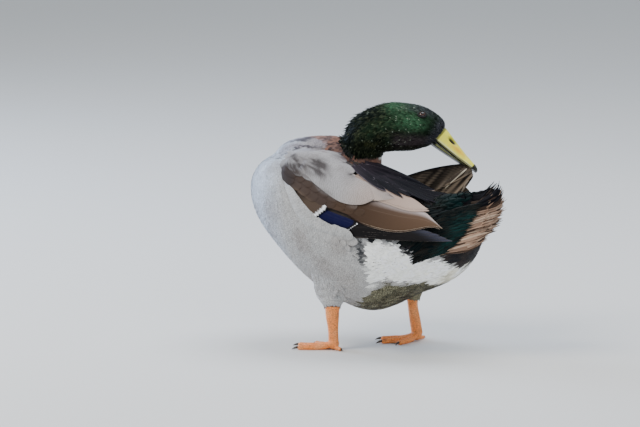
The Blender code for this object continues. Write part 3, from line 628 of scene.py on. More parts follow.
def head_colour(points, station, turn):
    """Dark glossy green head, its bright green over the cheeks and crown painted sheen; violet brown low
    on the face and throat, and nearly black down the neck, with olive flecks."""
    hues = bpy.context.scene.drake_colours
    side = np.abs(turn)
    # painted sheen: bright green where the glossy feathers catch the light on cheek and crown
    cheek = bump((station - 5.0) / 0.62) * bump((side - 84) / 20)
    crown = bump((station - 3.75) / 0.65) * bump((side - 30) / 24)
    gloss = 0.45 * bump((station - 4.2) / 1.5) * ease((112 - side) / 20)
    shine = cheek + crown + gloss + 0.25 * (mottle(points, 9, 3) - 0.5)
    brow = 0.8 * bump((station - 5.2) / 0.9) * ease((62 - side) / 16)
    olive = ease((mottle(points, 5, 4) - 0.55) / 0.2) * bump((station - 2.0) / 1.3)
    return painted(
        np.broadcast_to(np.array(hues.head_dark), points.shape),
        (np.array(hues.head_green_sheen), np.clip(shine, 0, 1)),
        (np.array(hues.head_violet), 0.75 * (ease((side - 104) / 30) * ease((station - 3.2) / 0.9))),
        ("#34343B", 0.75 * np.maximum(ease((station - 5.9) / 0.7), brow)),
        ("#15170F", 0.85 * ease((side - 138) / 24)),
        ("#12150E", 0.85 * ease((2.4 - station) / 1.6)),
        ("#4A4B2A", 0.16 * olive),
        ("#070B0C", 0.85 * ease((3.4 - station) / 0.8) * ease((78 - side) / 22)),
    )


def torso_colour(points):
    """The body's markings by x, degrees down from the top line and place: grey breast and flank with
    soft brown clouds, the breast's front bluer with painted sky light, a white patch behind the flank
    with painted shade low among its plumes and a dark sliver of painted shade before it, speckled belly,
    black rump and undertail with a painted teal sheen, and chestnut round the root of the neck on the
    bird's right. Also the strength of the fine bars."""
    hues = bpy.context.scene.drake_colours
    x, signed = torso_coordinates(points)
    y, z = points[:, 1], points[:, 2]
    deg = np.abs(signed)
    rough = mottle(points, 7, 5) - 0.5
    fine = mottle(points, 3.2, 7)
    colour = painted(
        np.broadcast_to(np.array(hues.flank_grey), points.shape),
        # painted sky light: bluer, paler grey towards the breast's front
        (np.array(hues.breast_grey_sky_lit), ease((-x - 70) / 50)),
        ("#8E837C", 0.42 * ease((mottle(points, 26, 6) - 0.52) / 0.3)),
    )
    colour = colour * (1 + 0.16 * (mottle(points, 4.5, 15) - 0.5))[:, None]

    lower = (
        np.interp(x, (-60, -30, 10, 28.5, 44.5, 58, 83, 92), (182, 172, 139, 129, 126, 135, 142, 190))
        + 9 * rough
    )
    belly = ease((deg - lower) / 5)
    spotted = ease((mottle(points, 5, 9) - 0.35) / 0.3) * (0.45 + 0.55 * ease((deg - 140) / 25))
    top = np.interp(x, (15, *UPPER_EDGE_X), (84, 82, *UPPER_EDGE_DEG[1:])) + 16 * rough
    front = np.interp(deg, (60, 85, 93, 101, 109, 125, 137), (32, 31, 25, 24, 28, 28, 10)) + 8 * rough
    white = ease((x - front) / 5) * ease((deg - top) / 5) * ease((lower - deg) / 6)
    # the white patch, painted creamy low down as shade among its plumes, and flecked dusky nearer the belly
    white_with_shade = painted(
        linear("#FDFDF7"),
        ("#DDD8C4", ease((mottle(points, 14, 10) - 0.4) / 0.4) * ease((deg - 118) / 22)),
        ("#8C8872", 0.45 * ease((fine - 0.6) / 0.2) * ease((deg - 128) / 20)),
    )
    colour = painted(
        colour,
        ("#A79C92", 0.35 * bump((x - 2) / 20) * bump((deg - 118) / 13)),
        (blend(linear("#8A866C"), linear("#4A4430"), spotted), belly),
        (white_with_shade, white),
    )

    rear = ease((x - np.interp(deg, (0, 60, 80, 100), (16, 20, 24, 30))) / 8) * ease((top - deg) / 5)
    rear = np.maximum(
        rear, ease((x - 103 - 14 * ease((deg - 108) / 62) + 9 * rough) / 5) * ease((deg - 60) / 20)
    )
    rear = np.maximum(rear, ease((22 - deg) / 10) * ease((x + 34) / 20))
    # painted sheen: teal where the black rump's gloss catches the light
    glossy = ease((x - 84) / 14) * ease((fine - 0.3) / 0.3) * ease((deg - 50) / 20) * ease((112 - deg) / 15)
    black = painted(
        np.array(hues.rump_black),
        ("#241D1B", ease((mottle(points, 11, 11) - 0.3) / 0.4) * ease((x - 50) / 30)),
        (np.array(hues.rump_teal_sheen), 0.8 * glossy),
    )
    # painted shade: a blue-black sliver in the gap under the flank's rear edge, before the white patch
    flank_gap_shade = bump((x - np.interp(deg, (80, 100, 109), (19, 24, 28))) / 4.8)
    flank_gap_shade = flank_gap_shade * ease((deg - 80) / 5) * ease((108 - deg) / 8)
    colour = painted(colour, (black, rear), ("#14171F", 0.95 * flank_gap_shade * (1 - rear)))

    right = ease((y - np.interp(x, (-120, -88, -72, -45), (16, 8, -5, -12)) + 14 * rough) / 10)
    right = right * ease((z - 168 - 30 * rough) / 34) * ease((12 - x) / 14) * ease((x + 137) / 12)
    veil = 0.45 + 0.45 * ease((mottle(points * [0.4, 1, 1.5], 5, 19) - 0.3) / 0.4)
    veil = veil * ease((x + 128) / 24) * ease((z - 186) / 16) * ease((y + 34) / 20)
    chestnut = painted(np.array(hues.chestnut), ("#2E1912", 0.8 * ease((fine - 0.42) / 0.25)))
    away = np.hypot(points[:, 0] - POST_AXIS[0], y - POST_AXIS[1])
    root = ease((54 - away + 26 * rough) / 20) * ease((z - 214) / 8)
    root = np.maximum(ease((33 - away) / 5) * ease((z - 186) / 6), root)
    streak = (
        ease((mottle(points * [0.5, 1, 1.6], 4, 8) - 0.48) / 0.2) * bump((x + 92) / 28)
        * ease((z - 200) / 10)
    )
    shaded = root * ease((16 - y) / 8) * ease((x + 66) / 8) * (0.55 + 0.45 * ease((fine - 0.35) / 0.3))
    behind = (points[:, 0] - POST_AXIS[0]) * 0.80 + (y - POST_AXIS[1]) * 0.60
    colour = painted(
        colour,
        ("#89848B", veil),
        (chestnut, 0.85 * right),
        ("#35303A", 0.9 * streak * ease((22 - y) / 12) * ease((y + 40) / 10)),
        (painted(chestnut, ("#3E2018", 0.5 * ease((x + 20) / 20))), root),
        ("#1F1B20", 0.9 * shaded),
        ("#E4E5DE", ease((30 - away) / 4) * ease((z - 210) / 1.5) * ease((behind - 15) / 4)),
    )
    bars = 0.9 * (1 - white) * (1 + 1.2 * belly) * (1 - rear) * (1 - np.maximum(right, root))
    return colour, bars


def markings(points):
    """Colour and strength of the fine bars at points of the bird."""
    station, turn, near = head_coordinates(points)
    head = (near < 1.12 + 0.33 * ease((points[:, 2] - 230) / 8)) & (points[:, 2] > 213)
    body, bars = torso_colour(points)
    colour = np.where(head[:, None], head_colour(points, station, turn), body)
    return colour, np.where(head, 0.0, bars)


# Settings


def length_property(name, description, default):
    return bpy.props.FloatProperty(
        name=name, description=description, default=default, min=0.0, precision=4, unit="LENGTH"
    )


def colour_property(name, description, code):
    return bpy.props.FloatVectorProperty(
        name=name, description=description, default=tuple(linear(code)), subtype="COLOR", size=3, min=0,
        max=1
    )


class DrakeSizes(bpy.types.PropertyGroup):
    """Sizes of the coat."""

    body_depth: length_property("Body coat", "Depth of the plumage on the body", 0.0013)
    head_depth: length_property("Head coat", "Depth of the plumage on the head", 0.0010)
    skin_grain: length_property("Skin grain", "Size of the skin's faces", 0.0026)
    flank_feather: length_property("Flank feather", "Length of a flank feather", 0.0140)
    flank_spacing: length_property("Flank spacing", "Distance between rows of flank feathers", 0.0037)
    head_feather: length_property("Head feather", "Length of a head feather", 0.0056)
    head_spacing: length_property("Head spacing", "Distance between rows of head feathers", 0.0019)


class DrakeColours(bpy.types.PropertyGroup):
    """Colours of the plumage, bill and feet."""

    flank_grey: colour_property("Flank", "Pale grey of the flank", "#B9B8B6")
    # painted sky light: the breast's front bluer and paler than the flank
    breast_grey_sky_lit: colour_property("Breast", "Cool grey of the breast's front", "#C8D3E2")
    chestnut: colour_property("Chestnut", "Brown at the root of the neck", "#835E4E")
    # painted sheen: the bright green where the head's gloss catches the light
    head_green_sheen: colour_property("Head green", "Green gloss of cheek and crown", "#2E4C36")
    head_dark: colour_property("Head dark", "Black green of the head", "#10140F")
    head_violet: colour_property("Head violet", "Violet brown low on the face", "#3A3236")
    rump_black: colour_property("Rump black", "Blue black of rump and back", "#090B11")
    # painted sheen: the teal where the black coverts' gloss catches the light
    rump_teal_sheen: colour_property("Rump teal", "Green gloss of the tail coverts", "#132E2D")
    wing_grey: colour_property("Scapular grey", "Grey of the shoulder feathers", "#A3A1A1")
    speculum: colour_property("Speculum", "Violet blue of the wing's bright bar", "#0B0D36")
    tail_buff: colour_property("Tail buff", "Buff of the tail feathers", "#A98A74")
    bill_yellow: colour_property("Bill", "Yellow of the bill", "#F6F04A")
    leg_orange: colour_property("Legs", "Orange of the feet", "#FB9547")


# Pieces: skin


def skin_parts():
    """The closed forms of flesh that the skin covers."""
    t = np.linspace(0, 1, 90)
    place = (len(TORSO) - 1) * (t - 0.035 * np.sin(2 * np.pi * t))
    around = np.linspace(0, 360, 96, endpoint=False)[None, :]
    yield torso_surface(place[:, None], around)
    s = 0.5 - 0.5 * np.cos(np.linspace(0, np.pi, 40))
    yield fold_surface(s[:, None], around)
    yield post_surface(np.linspace(0, 1, 20)[:, None], around)
    yield head_surface(np.linspace(0.0, STATIONS, 80)[:, None], around)
    for side in ("left", "right"):
        yield tube_surface(THIGHS[side], np.linspace(0, 1, 20)[:, None], around)


def coat_depth(points):
    """Depth of the coat over the skin: the body's, thinning up the neck and over the face."""
    sizes = bpy.context.scene.drake_sizes
    station, _, near = head_coordinates(points)
    on_head = ease((points[:, 2] - 205) / 14) * (near < 1.5)
    face = ease((station - 5.5) / 1.5)
    thin = sizes.head_depth / MM * (1 - 0.55 * face)
    return sizes.body_depth / MM * (1 - on_head) + thin * on_head


def nearest_surface(points):
    """The skin's nearest point to each point and its smooth normal there, by a node tree that samples
    the skin at a cloud of points."""
    skin = bpy.data.objects["skin"]
    tree = bpy.data.node_groups.get("nearest_skin")
    if tree is None:
        tree = bpy.data.node_groups.new("nearest_skin", "GeometryNodeTree")
        for way in ("INPUT", "OUTPUT"):
            tree.interface.new_socket("Geometry", in_out=way, socket_type="NodeSocketGeometry")
        start = add_node(tree, "NodeGroupInput").outputs[0]
        shape = add_node(tree, "GeometryNodeObjectInfo", {"Object": skin}).outputs["Geometry"]
        here = add_node(tree, "GeometryNodeInputPosition").outputs[0]
        up = add_node(
            tree, "GeometryNodeInputNamedAttribute", {"Name": "up"}, data_type="FLOAT_VECTOR"
        ).outputs[0]
        foot, out = (
            add_node(
                tree, "GeometryNodeSampleNearestSurface", {"Mesh": shape, "Value": value},
                data_type="FLOAT_VECTOR"
            )
            for value in (here, up)
        )
        stored = add_node(
            tree, "GeometryNodeStoreNamedAttribute",
            {"Geometry": start, "Name": "out", "Value": out.outputs[0]}, data_type="FLOAT_VECTOR",
            domain="POINT"
        )
        moved = add_node(
            tree, "GeometryNodeSetPosition", {"Geometry": stored.outputs[0], "Position": foot.outputs[0]}
        )
        add_node(tree, "NodeGroupOutput", {0: moved.outputs[0]})
    flat = np.asarray(points, float).reshape(-1, 3)
    cloud = bpy.data.meshes.new("probe")
    cloud.vertices.add(len(flat))
    cloud.vertices.foreach_set("co", to_metres(flat))
    obj = add_object("probe", cloud)
    obj.modifiers.new("nearest", "NODES").node_group = tree
    ready = obj.evaluated_get(bpy.context.evaluated_depsgraph_get()).data
    found, normal = read_vectors(ready.vertices, "co"), read_vectors(ready.attributes["out"].data, "vector")
    bpy.data.objects.remove(obj)
    bpy.data.meshes.remove(cloud)
    shape = np.shape(points)
    return found.reshape(shape) / MM + ORIGIN, unit(normal.reshape(shape).astype(float))


class DRAKE_OT_skin(bpy.types.Operator):
    """Fuses torso, neck, head and thighs into one smooth skin under the coat"""

    bl_idname = "drake.skin"
    bl_label = "Skin"

    def execute(self, context):
        forms = [closed_form(rings) for rings in skin_parts()]
        mesh = fused_mesh("skin", forms, context.scene.drake_sizes.skin_grain, 12)
        place = read_vectors(mesh.vertices, "co") / MM + ORIGIN
        place = place - read_vectors(mesh.vertex_normals, "vector") * coat_depth(place)[:, None]
        mesh.vertices.foreach_set("co", to_metres(place))
        mesh.update()
        add_values(mesh, "up", "FLOAT_VECTOR", read_vectors(mesh.vertex_normals, "vector"))
        add_values(mesh, "Col", "FLOAT_COLOR", rgba(*markings(place)))
        corners = np.empty(len(mesh.loops), np.int32)
        mesh.loops.foreach_get("vertex_index", corners)
        add_map(mesh, "OFBake", corners, bake_places(place))
        mesh.shade_smooth()
        flesh = ("torso", "neck_lower", "neck_upper", "head", "thigh_left", "thigh_right")
        add_piece(mesh, get_material("downy skin", skin_material), "torso", *flesh)
        return {"FINISHED"}


def skin_material(name):
    """Skin under down: matt, carrying the plumage's colours so that no gap between feathers shows."""
    return grained_material(name, 420.0, 3.0, 0.5, 0.0003, (0.75, 1.15), roughness=0.85, sheen_weight=0.15)


# Pieces: small body feathers


def scatter(surface, ends, along, across, rng, wrap=360.0):
    """Roots in staggered rows on a surface of (place, degrees): rows at even lengths along it, and
    in each row as many feathers as its girth holds, each a little off its place."""
    place = np.linspace(*ends, 300)
    ring = surface(place[:, None], np.arange(0, 360, 20.0)[None, :])
    run = np.concatenate([[0], np.cumsum(np.linalg.norm(np.diff(ring, axis=0), axis=-1).mean(1))])
    rows = np.interp(np.arange(along / 2, run[-1], along), run, place)
    spread = np.gradient(place, run)
    places, turns = [], []
    for k, row in enumerate(rows):
        around = surface(np.full(73, row), np.linspace(0, wrap, 73))
        count = max(int(np.linalg.norm(np.diff(around, axis=0), axis=-1).sum() / across), 5)
        turns.append((np.arange(count) + 0.5 * (k % 2) + rng.uniform(-0.3, 0.3, count)) / count * wrap)
        places.append(row + rng.uniform(-0.35, 0.35, count) * along * np.interp(row, place, spread))
    places, turns = np.concatenate(places), np.concatenate(turns)
    places = np.clip(places, ends[0] + 1e-3, ends[1] - 1e-3)
    step = 0.02 * (ends[1] - ends[0]) / 2
    way = surface(places + step, turns) - surface(places - step, turns)
    return surface(places, turns), unit(way), places, turns


NECK_TOP = np.array([-33.8, 30.0, 232.0])
BAKE_PATCH = 0.003  # side of a feather's patch on the OFBake map
PIECE_TRIANGLES = 170000  # past this the small feathers are split into another piece


def body_way(points, way):
    """The lie of the coat: along the body, turned near the neck's root to run down and away from it."""
    away = unit(points - NECK_TOP)
    share = 1 - ease((np.linalg.norm(points - NECK_TOP, axis=-1) - 55) / 75)
    return unit(blend(way, away, share))


def kept_roots(points, depth, slack=3.0):
    """Which roots aren't inside another form: those close enough to the skin."""
    return np.linalg.norm(points - nearest_surface(points)[0], axis=-1) < depth + slack


def under_wing(points, inside=9.0):
    """True where the folded wings hide the body."""
    x, degrees = points[:, 0], np.abs(shell_degrees(points))
    top, low = wing_edges(x)
    return (x > CORE_START + 12) & (x < CORE_END - 4) & (degrees > top + inside) & (degrees < low - inside)


def lay_feathers(name, roots, ways, length, half_width, lift, rng, rows=5, columns=3, ragged=0.05,
                 notch=0.0, stand=0.0, soft=0.7, narrow=0.45, tint=0.10, material="contour feathers",
                 colours=None, rim_light=0.10, tips=None, rough=0.62, slot="torso"):
    """Small closed feathers over the skin. Each is a grid of (along, across) from its root: it widens,
    rounds off to its tip and is thickest along the middle. Every point is put on the skin's nearest
    point and raised from it, more towards the tip, so that the feather follows the body and lies over
    the next one. lift is (at the root, at the tip); stand raises the tip further."""
    n = len(roots)
    foot, up = nearest_surface(roots)
    way = unit(ways - dot(ways, up) * up)
    side = np.cross(way, up)
    size = np.broadcast_to(length, n) * rng.uniform(0.85, 1.15, n)
    wide = np.broadcast_to(half_width, n) * rng.uniform(0.88, 1.12, n)
    s = np.linspace(0, 1, rows) ** 0.85
    q = np.linspace(-1, 1, columns)
    reach = s[:, None] * (1 - 0.24 * np.abs(q[None, :]) ** 2.2 * s[:, None] ** 2)
    profile = (0.5 + 0.5 * ease(s / 0.45)) * (1 - narrow * ease((s - 0.6) / 0.4))
    reach = np.broadcast_to(reach, (n, rows, columns)).copy()
    reach[:, -1, :] += rng.uniform(-ragged, ragged, (n, columns))
    if notch:
        reach[:, -1, 1::2] -= notch * rng.uniform(0.6, 1.3, (n, columns // 2))
    across = profile[:, None] * q[None, :]
    bend = rng.uniform(-0.10, 0.10, n)[:, None, None] * reach**2
    flat = (
        foot[:, None, None, :] + (size[:, None, None] * reach)[..., None] * way[:, None, None, :]
        + (wide[:, None, None] * across[None] + size[:, None, None] * bend)[..., None]
        * side[:, None, None, :]
    )
    base, out = nearest_surface(flat)
    steady = np.einsum("nijk,nk->nij", out, up).min(axis=(1, 2)) > 0.6  # not bent over a crease
    low, high = (np.broadcast_to(v, n)[:, None, None] for v in lift)
    extra = np.broadcast_to(stand, n)[:, None, None] * rng.uniform(0.3, 1.3, n)[:, None, None]
    height = low + (high - low) * reach**1.2 * rng.uniform(0.85, 1.15, n)[:, None, None]
    height = height + extra * reach**2 + 0.10 * wide[:, None, None] * (1 - q**2)[None, None, :]
    points = base + height[..., None] * out
    if colours is None:
        middle = roots + way * (size * 0.7)[:, None] + rng.normal(0, 0.8, (n, 3))
        colour, bars = markings(middle)
    else:
        colour, bars = colours
    shade = (1 + tint * rng.standard_normal(n))[:, None]
    colour = np.clip(colour * shade, 0, 1)
    # painted light and shade: each feather lighter towards its tip and darker at its root, by rim_light
    light = 1 + rim_light * (reach - 0.55)
    grain = np.clip(bars - 1, 0, 1)[:, None, None]
    if grain.max() > 0:
        light = light * (1 + 1.3 * grain * (mottle(points, 2.0, 71) - 0.45))
    full = np.clip(colour[:, None, None, :] * light[..., None], 0, 1)
    # painted glints: the given feathers get pale tips
    if tips is not None:
        full[:, -1] = blend(full[:, -1], linear("#A9B5A2"), tips[:, None] + np.zeros(columns))
    cell = np.stack([BAKE_PATCH * (reach - 0.5), BAKE_PATCH / 2 * across + 0 * reach], -1)
    patch = bake_places(roots)[:, None, None, :] + cell
    vane = np.stack([
        size[:, None, None] * reach / 100 + rng.uniform(0, 1, n)[:, None, None],
        wide[:, None, None] * across[None] / 100 + 0.5 + 0 * reach,
    ], -1)
    quads, fans = lens_faces(rows, columns)
    step = rows * columns
    pieces = math.ceil(n * (len(quads) * 2 + len(fans)) / PIECE_TRIANGLES)
    for k, part in enumerate(np.array_split(np.flatnonzero(steady), pieces)):
        m = len(part)
        faces = [repeated(quads, m, step), repeated(fans, m, step)]
        mesh, corners = new_mesh(f"{name}_{k + 1}", points[part].reshape(-1, 3), faces)
        own = read_vectors(mesh.vertex_normals, "vector")
        normal = unit(own * (1 - soft) + out[part].reshape(-1, 3) * soft)
        mesh.normals_split_custom_set_from_vertices(normal.astype(np.float32))
        shades = full[part].reshape(-1, 3)
        add_values(mesh, "Col", "FLOAT_COLOR", rgba(shades, np.repeat(bars[part], step)))
        add_values(mesh, "Edge", "FLOAT_COLOR", rgba(shades * 1.12, np.zeros(m * step)))
        add_values(mesh, "Rough", "FLOAT", np.full(m * step, rough))
        add_values(mesh, "Rim", "FLOAT", np.full(m * step, 4.0))
        add_map(mesh, "OFBake", corners, patch[part].reshape(-1, 2))
        add_map(mesh, "Vane", corners, vane[part].reshape(-1, 2))
        add_piece(mesh, bpy.data.materials[material], slot)


CONTOUR_FINISH = dict(bars=0.42, sheen_weight=0.04, sheen_roughness=0.4, specular_ior_level=0.2)


def body_roots(rng):
    """Roots over the torso, the neck's fold and post, and the thighs, with the lie of the coat."""
    sizes = bpy.context.scene.drake_sizes
    along, across = sizes.flank_spacing / MM, sizes.flank_spacing / MM * 0.86
    parts = [
        scatter(torso_surface, (0.05, 7.9), along, across, rng)[:2],
        scatter(fold_surface, (0.01, 0.99), along * 0.8, across * 0.8, rng)[:2],
    ]
    top, turned = scatter(post_surface, (0.2, 0.96), along * 0.6, across * 0.6, rng)[:2]
    parts.append((top, -turned))
    for rows in THIGHS.values():
        thigh = functools.partial(tube_surface, rows)
        parts.append(scatter(thigh, (0.02, 0.95), along * 0.7, across * 0.7, rng)[:2])
    points, ways = (np.vstack(v) for v in zip(*parts))
    kept = kept_roots(points, sizes.body_depth / MM) & ~under_wing(points)
    return points[kept], body_way(points, ways)[kept]


class DRAKE_OT_body_feathers(bpy.types.Operator):
    """Lays the contour feathers of breast, flank, belly, rump and neck root"""

    bl_idname = "drake.body_feathers"
    bl_label = "Body feathers"

    def execute(self, context):
        rng = np.random.default_rng(11)
        sizes = context.scene.drake_sizes
        get_material("contour feathers", plumage_material, **CONTOUR_FINISH)
        points, ways = body_roots(rng)
        x, degrees = torso_coordinates(points)
        deg = np.abs(degrees)
        neck = 1 - ease((np.linalg.norm(points - NECK_TOP, axis=-1) - 30) / 60)
        plume = ease((x - 14) / 10) * ease((deg - 76) / 8)
        belly = ease((deg - 132) / 14)
        thigh = points[:, 2] < 78
        long = sizes.flank_feather / MM * (0.72 + 0.28 * ease((x + 120) / 60)) * (1 - 0.45 * neck)
        long = long * (1 + 0.25 * plume) * np.where(thigh, 0.62, 1.0)
        wide = long * 0.30 * (1 - 0.35 * plume) * (1 - 0.2 * belly)
        hairy = (plume > 0.5) | (belly > 0.5)
        top = sizes.body_depth / MM
        plumy = dict(columns=5, ragged=0.10, notch=0.22, soft=0.72, narrow=0.3, tint=0.07)
        for part, name, form in (
            (~hairy, "body_feathers", dict(ragged=0.03, soft=0.93, tint=0.035, rim_light=0.05)),
            (hairy, "plume_feathers", plumy),
        ):
            lift = (0.45, top * np.where(plume[part] > 0.5, 1.3, 0.85))
            lay_feathers(name, points[part], ways[part], long[part], wide[part], lift, rng, **form)
        return {"FINISHED"}


class DRAKE_OT_head_feathers(bpy.types.Operator):
    """Lays the small glossy feathers of head and neck, from the bill back and down"""

    bl_idname = "drake.head_feathers"
    bl_label = "Head feathers"

    def execute(self, context):
        rng = np.random.default_rng(23)
        sizes = context.scene.drake_sizes
        get_material(
            "glossy head feathers", plumage_material, streak=0.16, bars=0.0, shaft=0.0, sheen_weight=0.0,
            sheen_roughness=0.35, sheen_tint=tuple(linear("#5FA27A")),
            specular_tint=tuple(linear("#8FC9A0")), specular_ior_level=0.03
        )
        gap = sizes.head_spacing / MM
        points, ways, station, turn = scatter(head_surface, (0.30, 7.55), gap, gap * 0.9, rng)
        eyes = np.min([np.linalg.norm(points - eye_frame(k)[0], axis=-1) for k in (1, -1)], axis=0)
        kept = kept_roots(points, sizes.head_depth / MM, 0.8) & (eyes > EYE_RADIUS + 0.9)
        base, forward, top, _ = bill_frame()
        ahead, above = (dot(points - base, way)[:, 0] for way in (forward, top))
        kept &= ~((ahead > 1.5 - 0.25 * np.abs(above)) & (station > 6.6))
        points, ways, station, turn = (v[kept] for v in (points, ways, station, turn))
        nape = bump((station - 1.9) / 1.2) * bump(((turn + 180) % 360 - 180) / 50)
        hem = ease((0.9 - station) / 0.9)
        face = ease((station - 5.2) / 1.4)
        long = sizes.head_feather / MM * (1 - 0.42 * face) * (1 + 0.6 * nape + 0.1 * hem)
        lift = (0.15, sizes.head_depth / MM * (1 - 0.45 * face))
        colour, bars = markings(points)
        fleck = rng.uniform(0, 1, len(points)) ** 3
        colour = blend(colour, linear("#777D60"), 0.15 * fleck * bump((station - 2.6) / 2.6))
        raised = 0.2 + 3.4 * nape * (rng.uniform(0, 1, len(points)) < 0.34)
        # painted glints: a few feathers, most round cheek and crown, get pale tips
        light = rng.uniform(0, 1, len(points)) < 0.05 * (0.3 + bump((station - 4.4) / 1.6))
        lay_feathers(
            "head_feathers", points, -ways, long, long * (0.24 + 0.10 * nape), lift, rng, rows=4,
            ragged=0.08, stand=raised, soft=0.6, tint=0.30, tips=light * 0.55,
            material="glossy head feathers", colours=(colour, bars), rim_light=0.5, rough=0.5, slot="head"
        )
        return {"FINISHED"}


# Pieces: bill and eyes

BILL_DROP, BILL_BASE = math.radians(-40.4), (50.5, 235.3)
BILL_LENGTH, LOWER_LENGTH, BILL_OPEN = 59.0, 51.0, math.radians(0.7)
BILL_WIDTHS, LOWER_WIDTHS = (11.2, 10.0, 10.2, 11.6, 11.0), (9.6, 8.8, 9.0, 9.8, 9.2)
UPPER_TOPS, UPPER_BOTTOMS = (14.3, 11.0, 7.9, 5.2, 3.6), (-5.4, -5.0, -4.4, -3.4, -2.6)
LOWER_TOPS, LOWER_BOTTOMS = (-5.8, -5.4, -4.8, -3.8, -3.0), (-10.8, -9.2, -7.2, -5.2, -4.2)
COMB_GAP = 1.7  # between the teeth of the lower half's comb
LID_WIDE, LID_TALL = 4.7, 5.1


def bill_frame():
    """Base of the bill, its way forward, the way up over its ridge and the way out to the left."""
    f, u, s = head_axes()
    forward = math.cos(BILL_DROP) * f + math.sin(BILL_DROP) * u
    level = -math.sin(BILL_DROP) * f + math.cos(BILL_DROP) * u
    up = math.cos(HEAD_ROLL) * level + math.sin(HEAD_ROLL) * s
    side = math.cos(HEAD_ROLL) * s - math.sin(HEAD_ROLL) * level
    return head_place(*BILL_BASE), forward, up, side


def eye_frame(toward):
    """Centre of an eyeball, the way it looks out, and the head's way forward across it."""
    before, surface, after = (head_surface(EYE_STATION + k, toward * EYE_ANGLE) for k in (-0.1, 0, 0.1))
    ahead = unit(after - before)
    out = unit(surface - head_frame(EYE_STATION)[0])
    return surface - EYE_DEPTH * out, out, unit(ahead - dot(ahead, out) * out)


def mandible(length, widths, tops, bottoms, drop, arch, rings=90, sides=72):
    """Rings of a mandible in (forward, height, side): a low arch above a nearly flat underside, with
    widths, tops and bottoms from base to tip, where it closes round."""
    t = np.linspace(-0.22, 1, rings)
    t = t + 0.05 * np.sin(np.pi * np.clip(t, 0, 1)) * (t > 0)
    rounding = np.sqrt(np.clip(1 - np.clip((t - 0.72) / 0.28, 0, 1) ** 2.4, 0, 1))
    knots = np.linspace(0, 1, len(widths))
    wide = smooth_at(np.maximum(t, 0), knots, widths) * rounding
    top, bottom = (smooth_at(np.maximum(t, 0), knots, values) for values in (tops, bottoms))
    middle = (top + bottom) / 2
    top = middle + (top - middle) * (0.2 + 0.8 * rounding)
    bottom = middle + (bottom - middle) * (0.2 + 0.8 * rounding)
    angle = np.linspace(0, 2 * np.pi, sides, endpoint=False)
    rise = np.where(np.sin(angle) > 0, np.abs(np.sin(angle)) ** arch, -np.abs(np.sin(angle)) ** 0.6)
    seam = (bottom + 0.15 * (top - bottom))[:, None]
    height = (
        seam + np.where(rise[None, :] > 0, (top[:, None] - seam) * rise, (seam - bottom[:, None]) * rise)
    )
    along = t[:, None] * length + 0 * height
    return along * math.cos(drop), height - along * math.sin(drop), wide[:, None] * np.cos(angle), t, angle


class DRAKE_OT_bill(bpy.types.Operator):
    """Shapes the yellow bill with its nostrils, dark nail and dark comb-edged lower half"""

    bl_idname = "drake.bill"
    bl_label = "Bill"

    def execute(self, context):
        yellow = np.array(context.scene.drake_colours.bill_yellow)
        base, f, u, s = bill_frame()
        horn = get_material("bill horn", horn_material)
        along, height, side, t, angle = mandible(
            BILL_LENGTH, BILL_WIDTHS, UPPER_TOPS, UPPER_BOTTOMS, 0.0, 0.8
        )
        off = np.stack([(along - 14.5) / 5.2, (height - 7.9) / 2.3, (np.abs(side) - 7.4) / 3.6], -1)
        nostril = np.exp(-(np.abs(off) ** 2.6).sum(-1))
        across, rise = np.cos(angle)[None, :], np.sin(angle)[None, :]
        nail = ease((along - BILL_LENGTH + 9.5) / 2.5) * ease((4.8 - np.abs(side)) / 1.6) * (rise > 0)
        points = base + along[..., None] * f + (height - 2.6 * nostril * np.sign(height))[..., None] * u
        points = points + (side * (1 - 0.28 * nostril))[..., None] * s + (0.55 * nail)[..., None] * u
        hook = ease((along - BILL_LENGTH + 6) / 6)
        points = points - (1.3 * hook * bump(side / 4))[..., None] * u
        t = t[:, None]
        cloud = mottle(points.reshape(-1, 3), 8, 31).reshape(height.shape)
        brink = height - smooth_at(np.maximum(t, 0), np.linspace(0, 1, len(UPPER_BOTTOMS)), UPPER_BOTTOMS)
        colour = painted(
            np.broadcast_to(yellow, points.shape),
            ("#E2A92E", 0.85 * bump((t - 0.45) / 0.20) * bump((height - 3.4) / 3.0)),
            ("#D5D89C", 0.65 * ease((cloud - 0.45) / 0.3) * ease((t - 0.30) / 0.5)),
            ("#DFE2B4", 0.85 * ease((3.2 - brink) / 1.0)),
            ("#6E7040", 0.75 * bump(side / 2.6) * ease((height - 3) / 2) * (1 - ease((t - 0.75) / 0.2))),
            ("#3A3A30", 0.8 * ease((0.015 - t) / 0.02)),
            # painted shade: the nostril's opening painted near black
            ("#17150F", np.clip(1.5 * nostril, 0, 1)),
            ("#12110D", 0.95 * bump((brink - 1.3) / 0.5)),
            ("#12110D", 0.95 * ((rise < -0.05) & (np.abs(across) < 0.80))),
            ("#040404", 0.99 * np.maximum(nail, ease((t - 0.845) / 0.02))),
        )
        self.make("bill_upper", points, colour, horn)
        along, height, side, t, angle = mandible(
            LOWER_LENGTH, LOWER_WIDTHS, LOWER_TOPS, LOWER_BOTTOMS, BILL_OPEN, 1.0
        )
        across, rise = np.abs(np.cos(angle))[None, :], np.sin(angle)[None, :]
        comb = np.sin(along * 2 * np.pi / COMB_GAP) * ease((across - 0.80) / 0.12)
        points = (
            base + along[..., None] * f + height[..., None] * u + (side * (1 + 0.028 * comb))[..., None] * s
        )
        lip = ease((rise - 0.12) / 0.12) * ease((across - 0.55) / 0.2) * ease((t[:, None] - 0.02) / 0.05)
        dark = np.broadcast_to(linear("#0E0E0C"), points.shape)
        self.make("bill_lower", points, blend(dark, linear("#A3A66C"), lip * (0.75 - 0.25 * comb)), horn)
        return {"FINISHED"}

    def make(self, node, points, colour, material):
        mesh = tube_mesh(node + "_horn", points)
        add_values(mesh, "Col", "FLOAT_COLOR", rgba(colour.reshape(-1, 3), 1.0))
        add_piece(mesh, material, node, node)


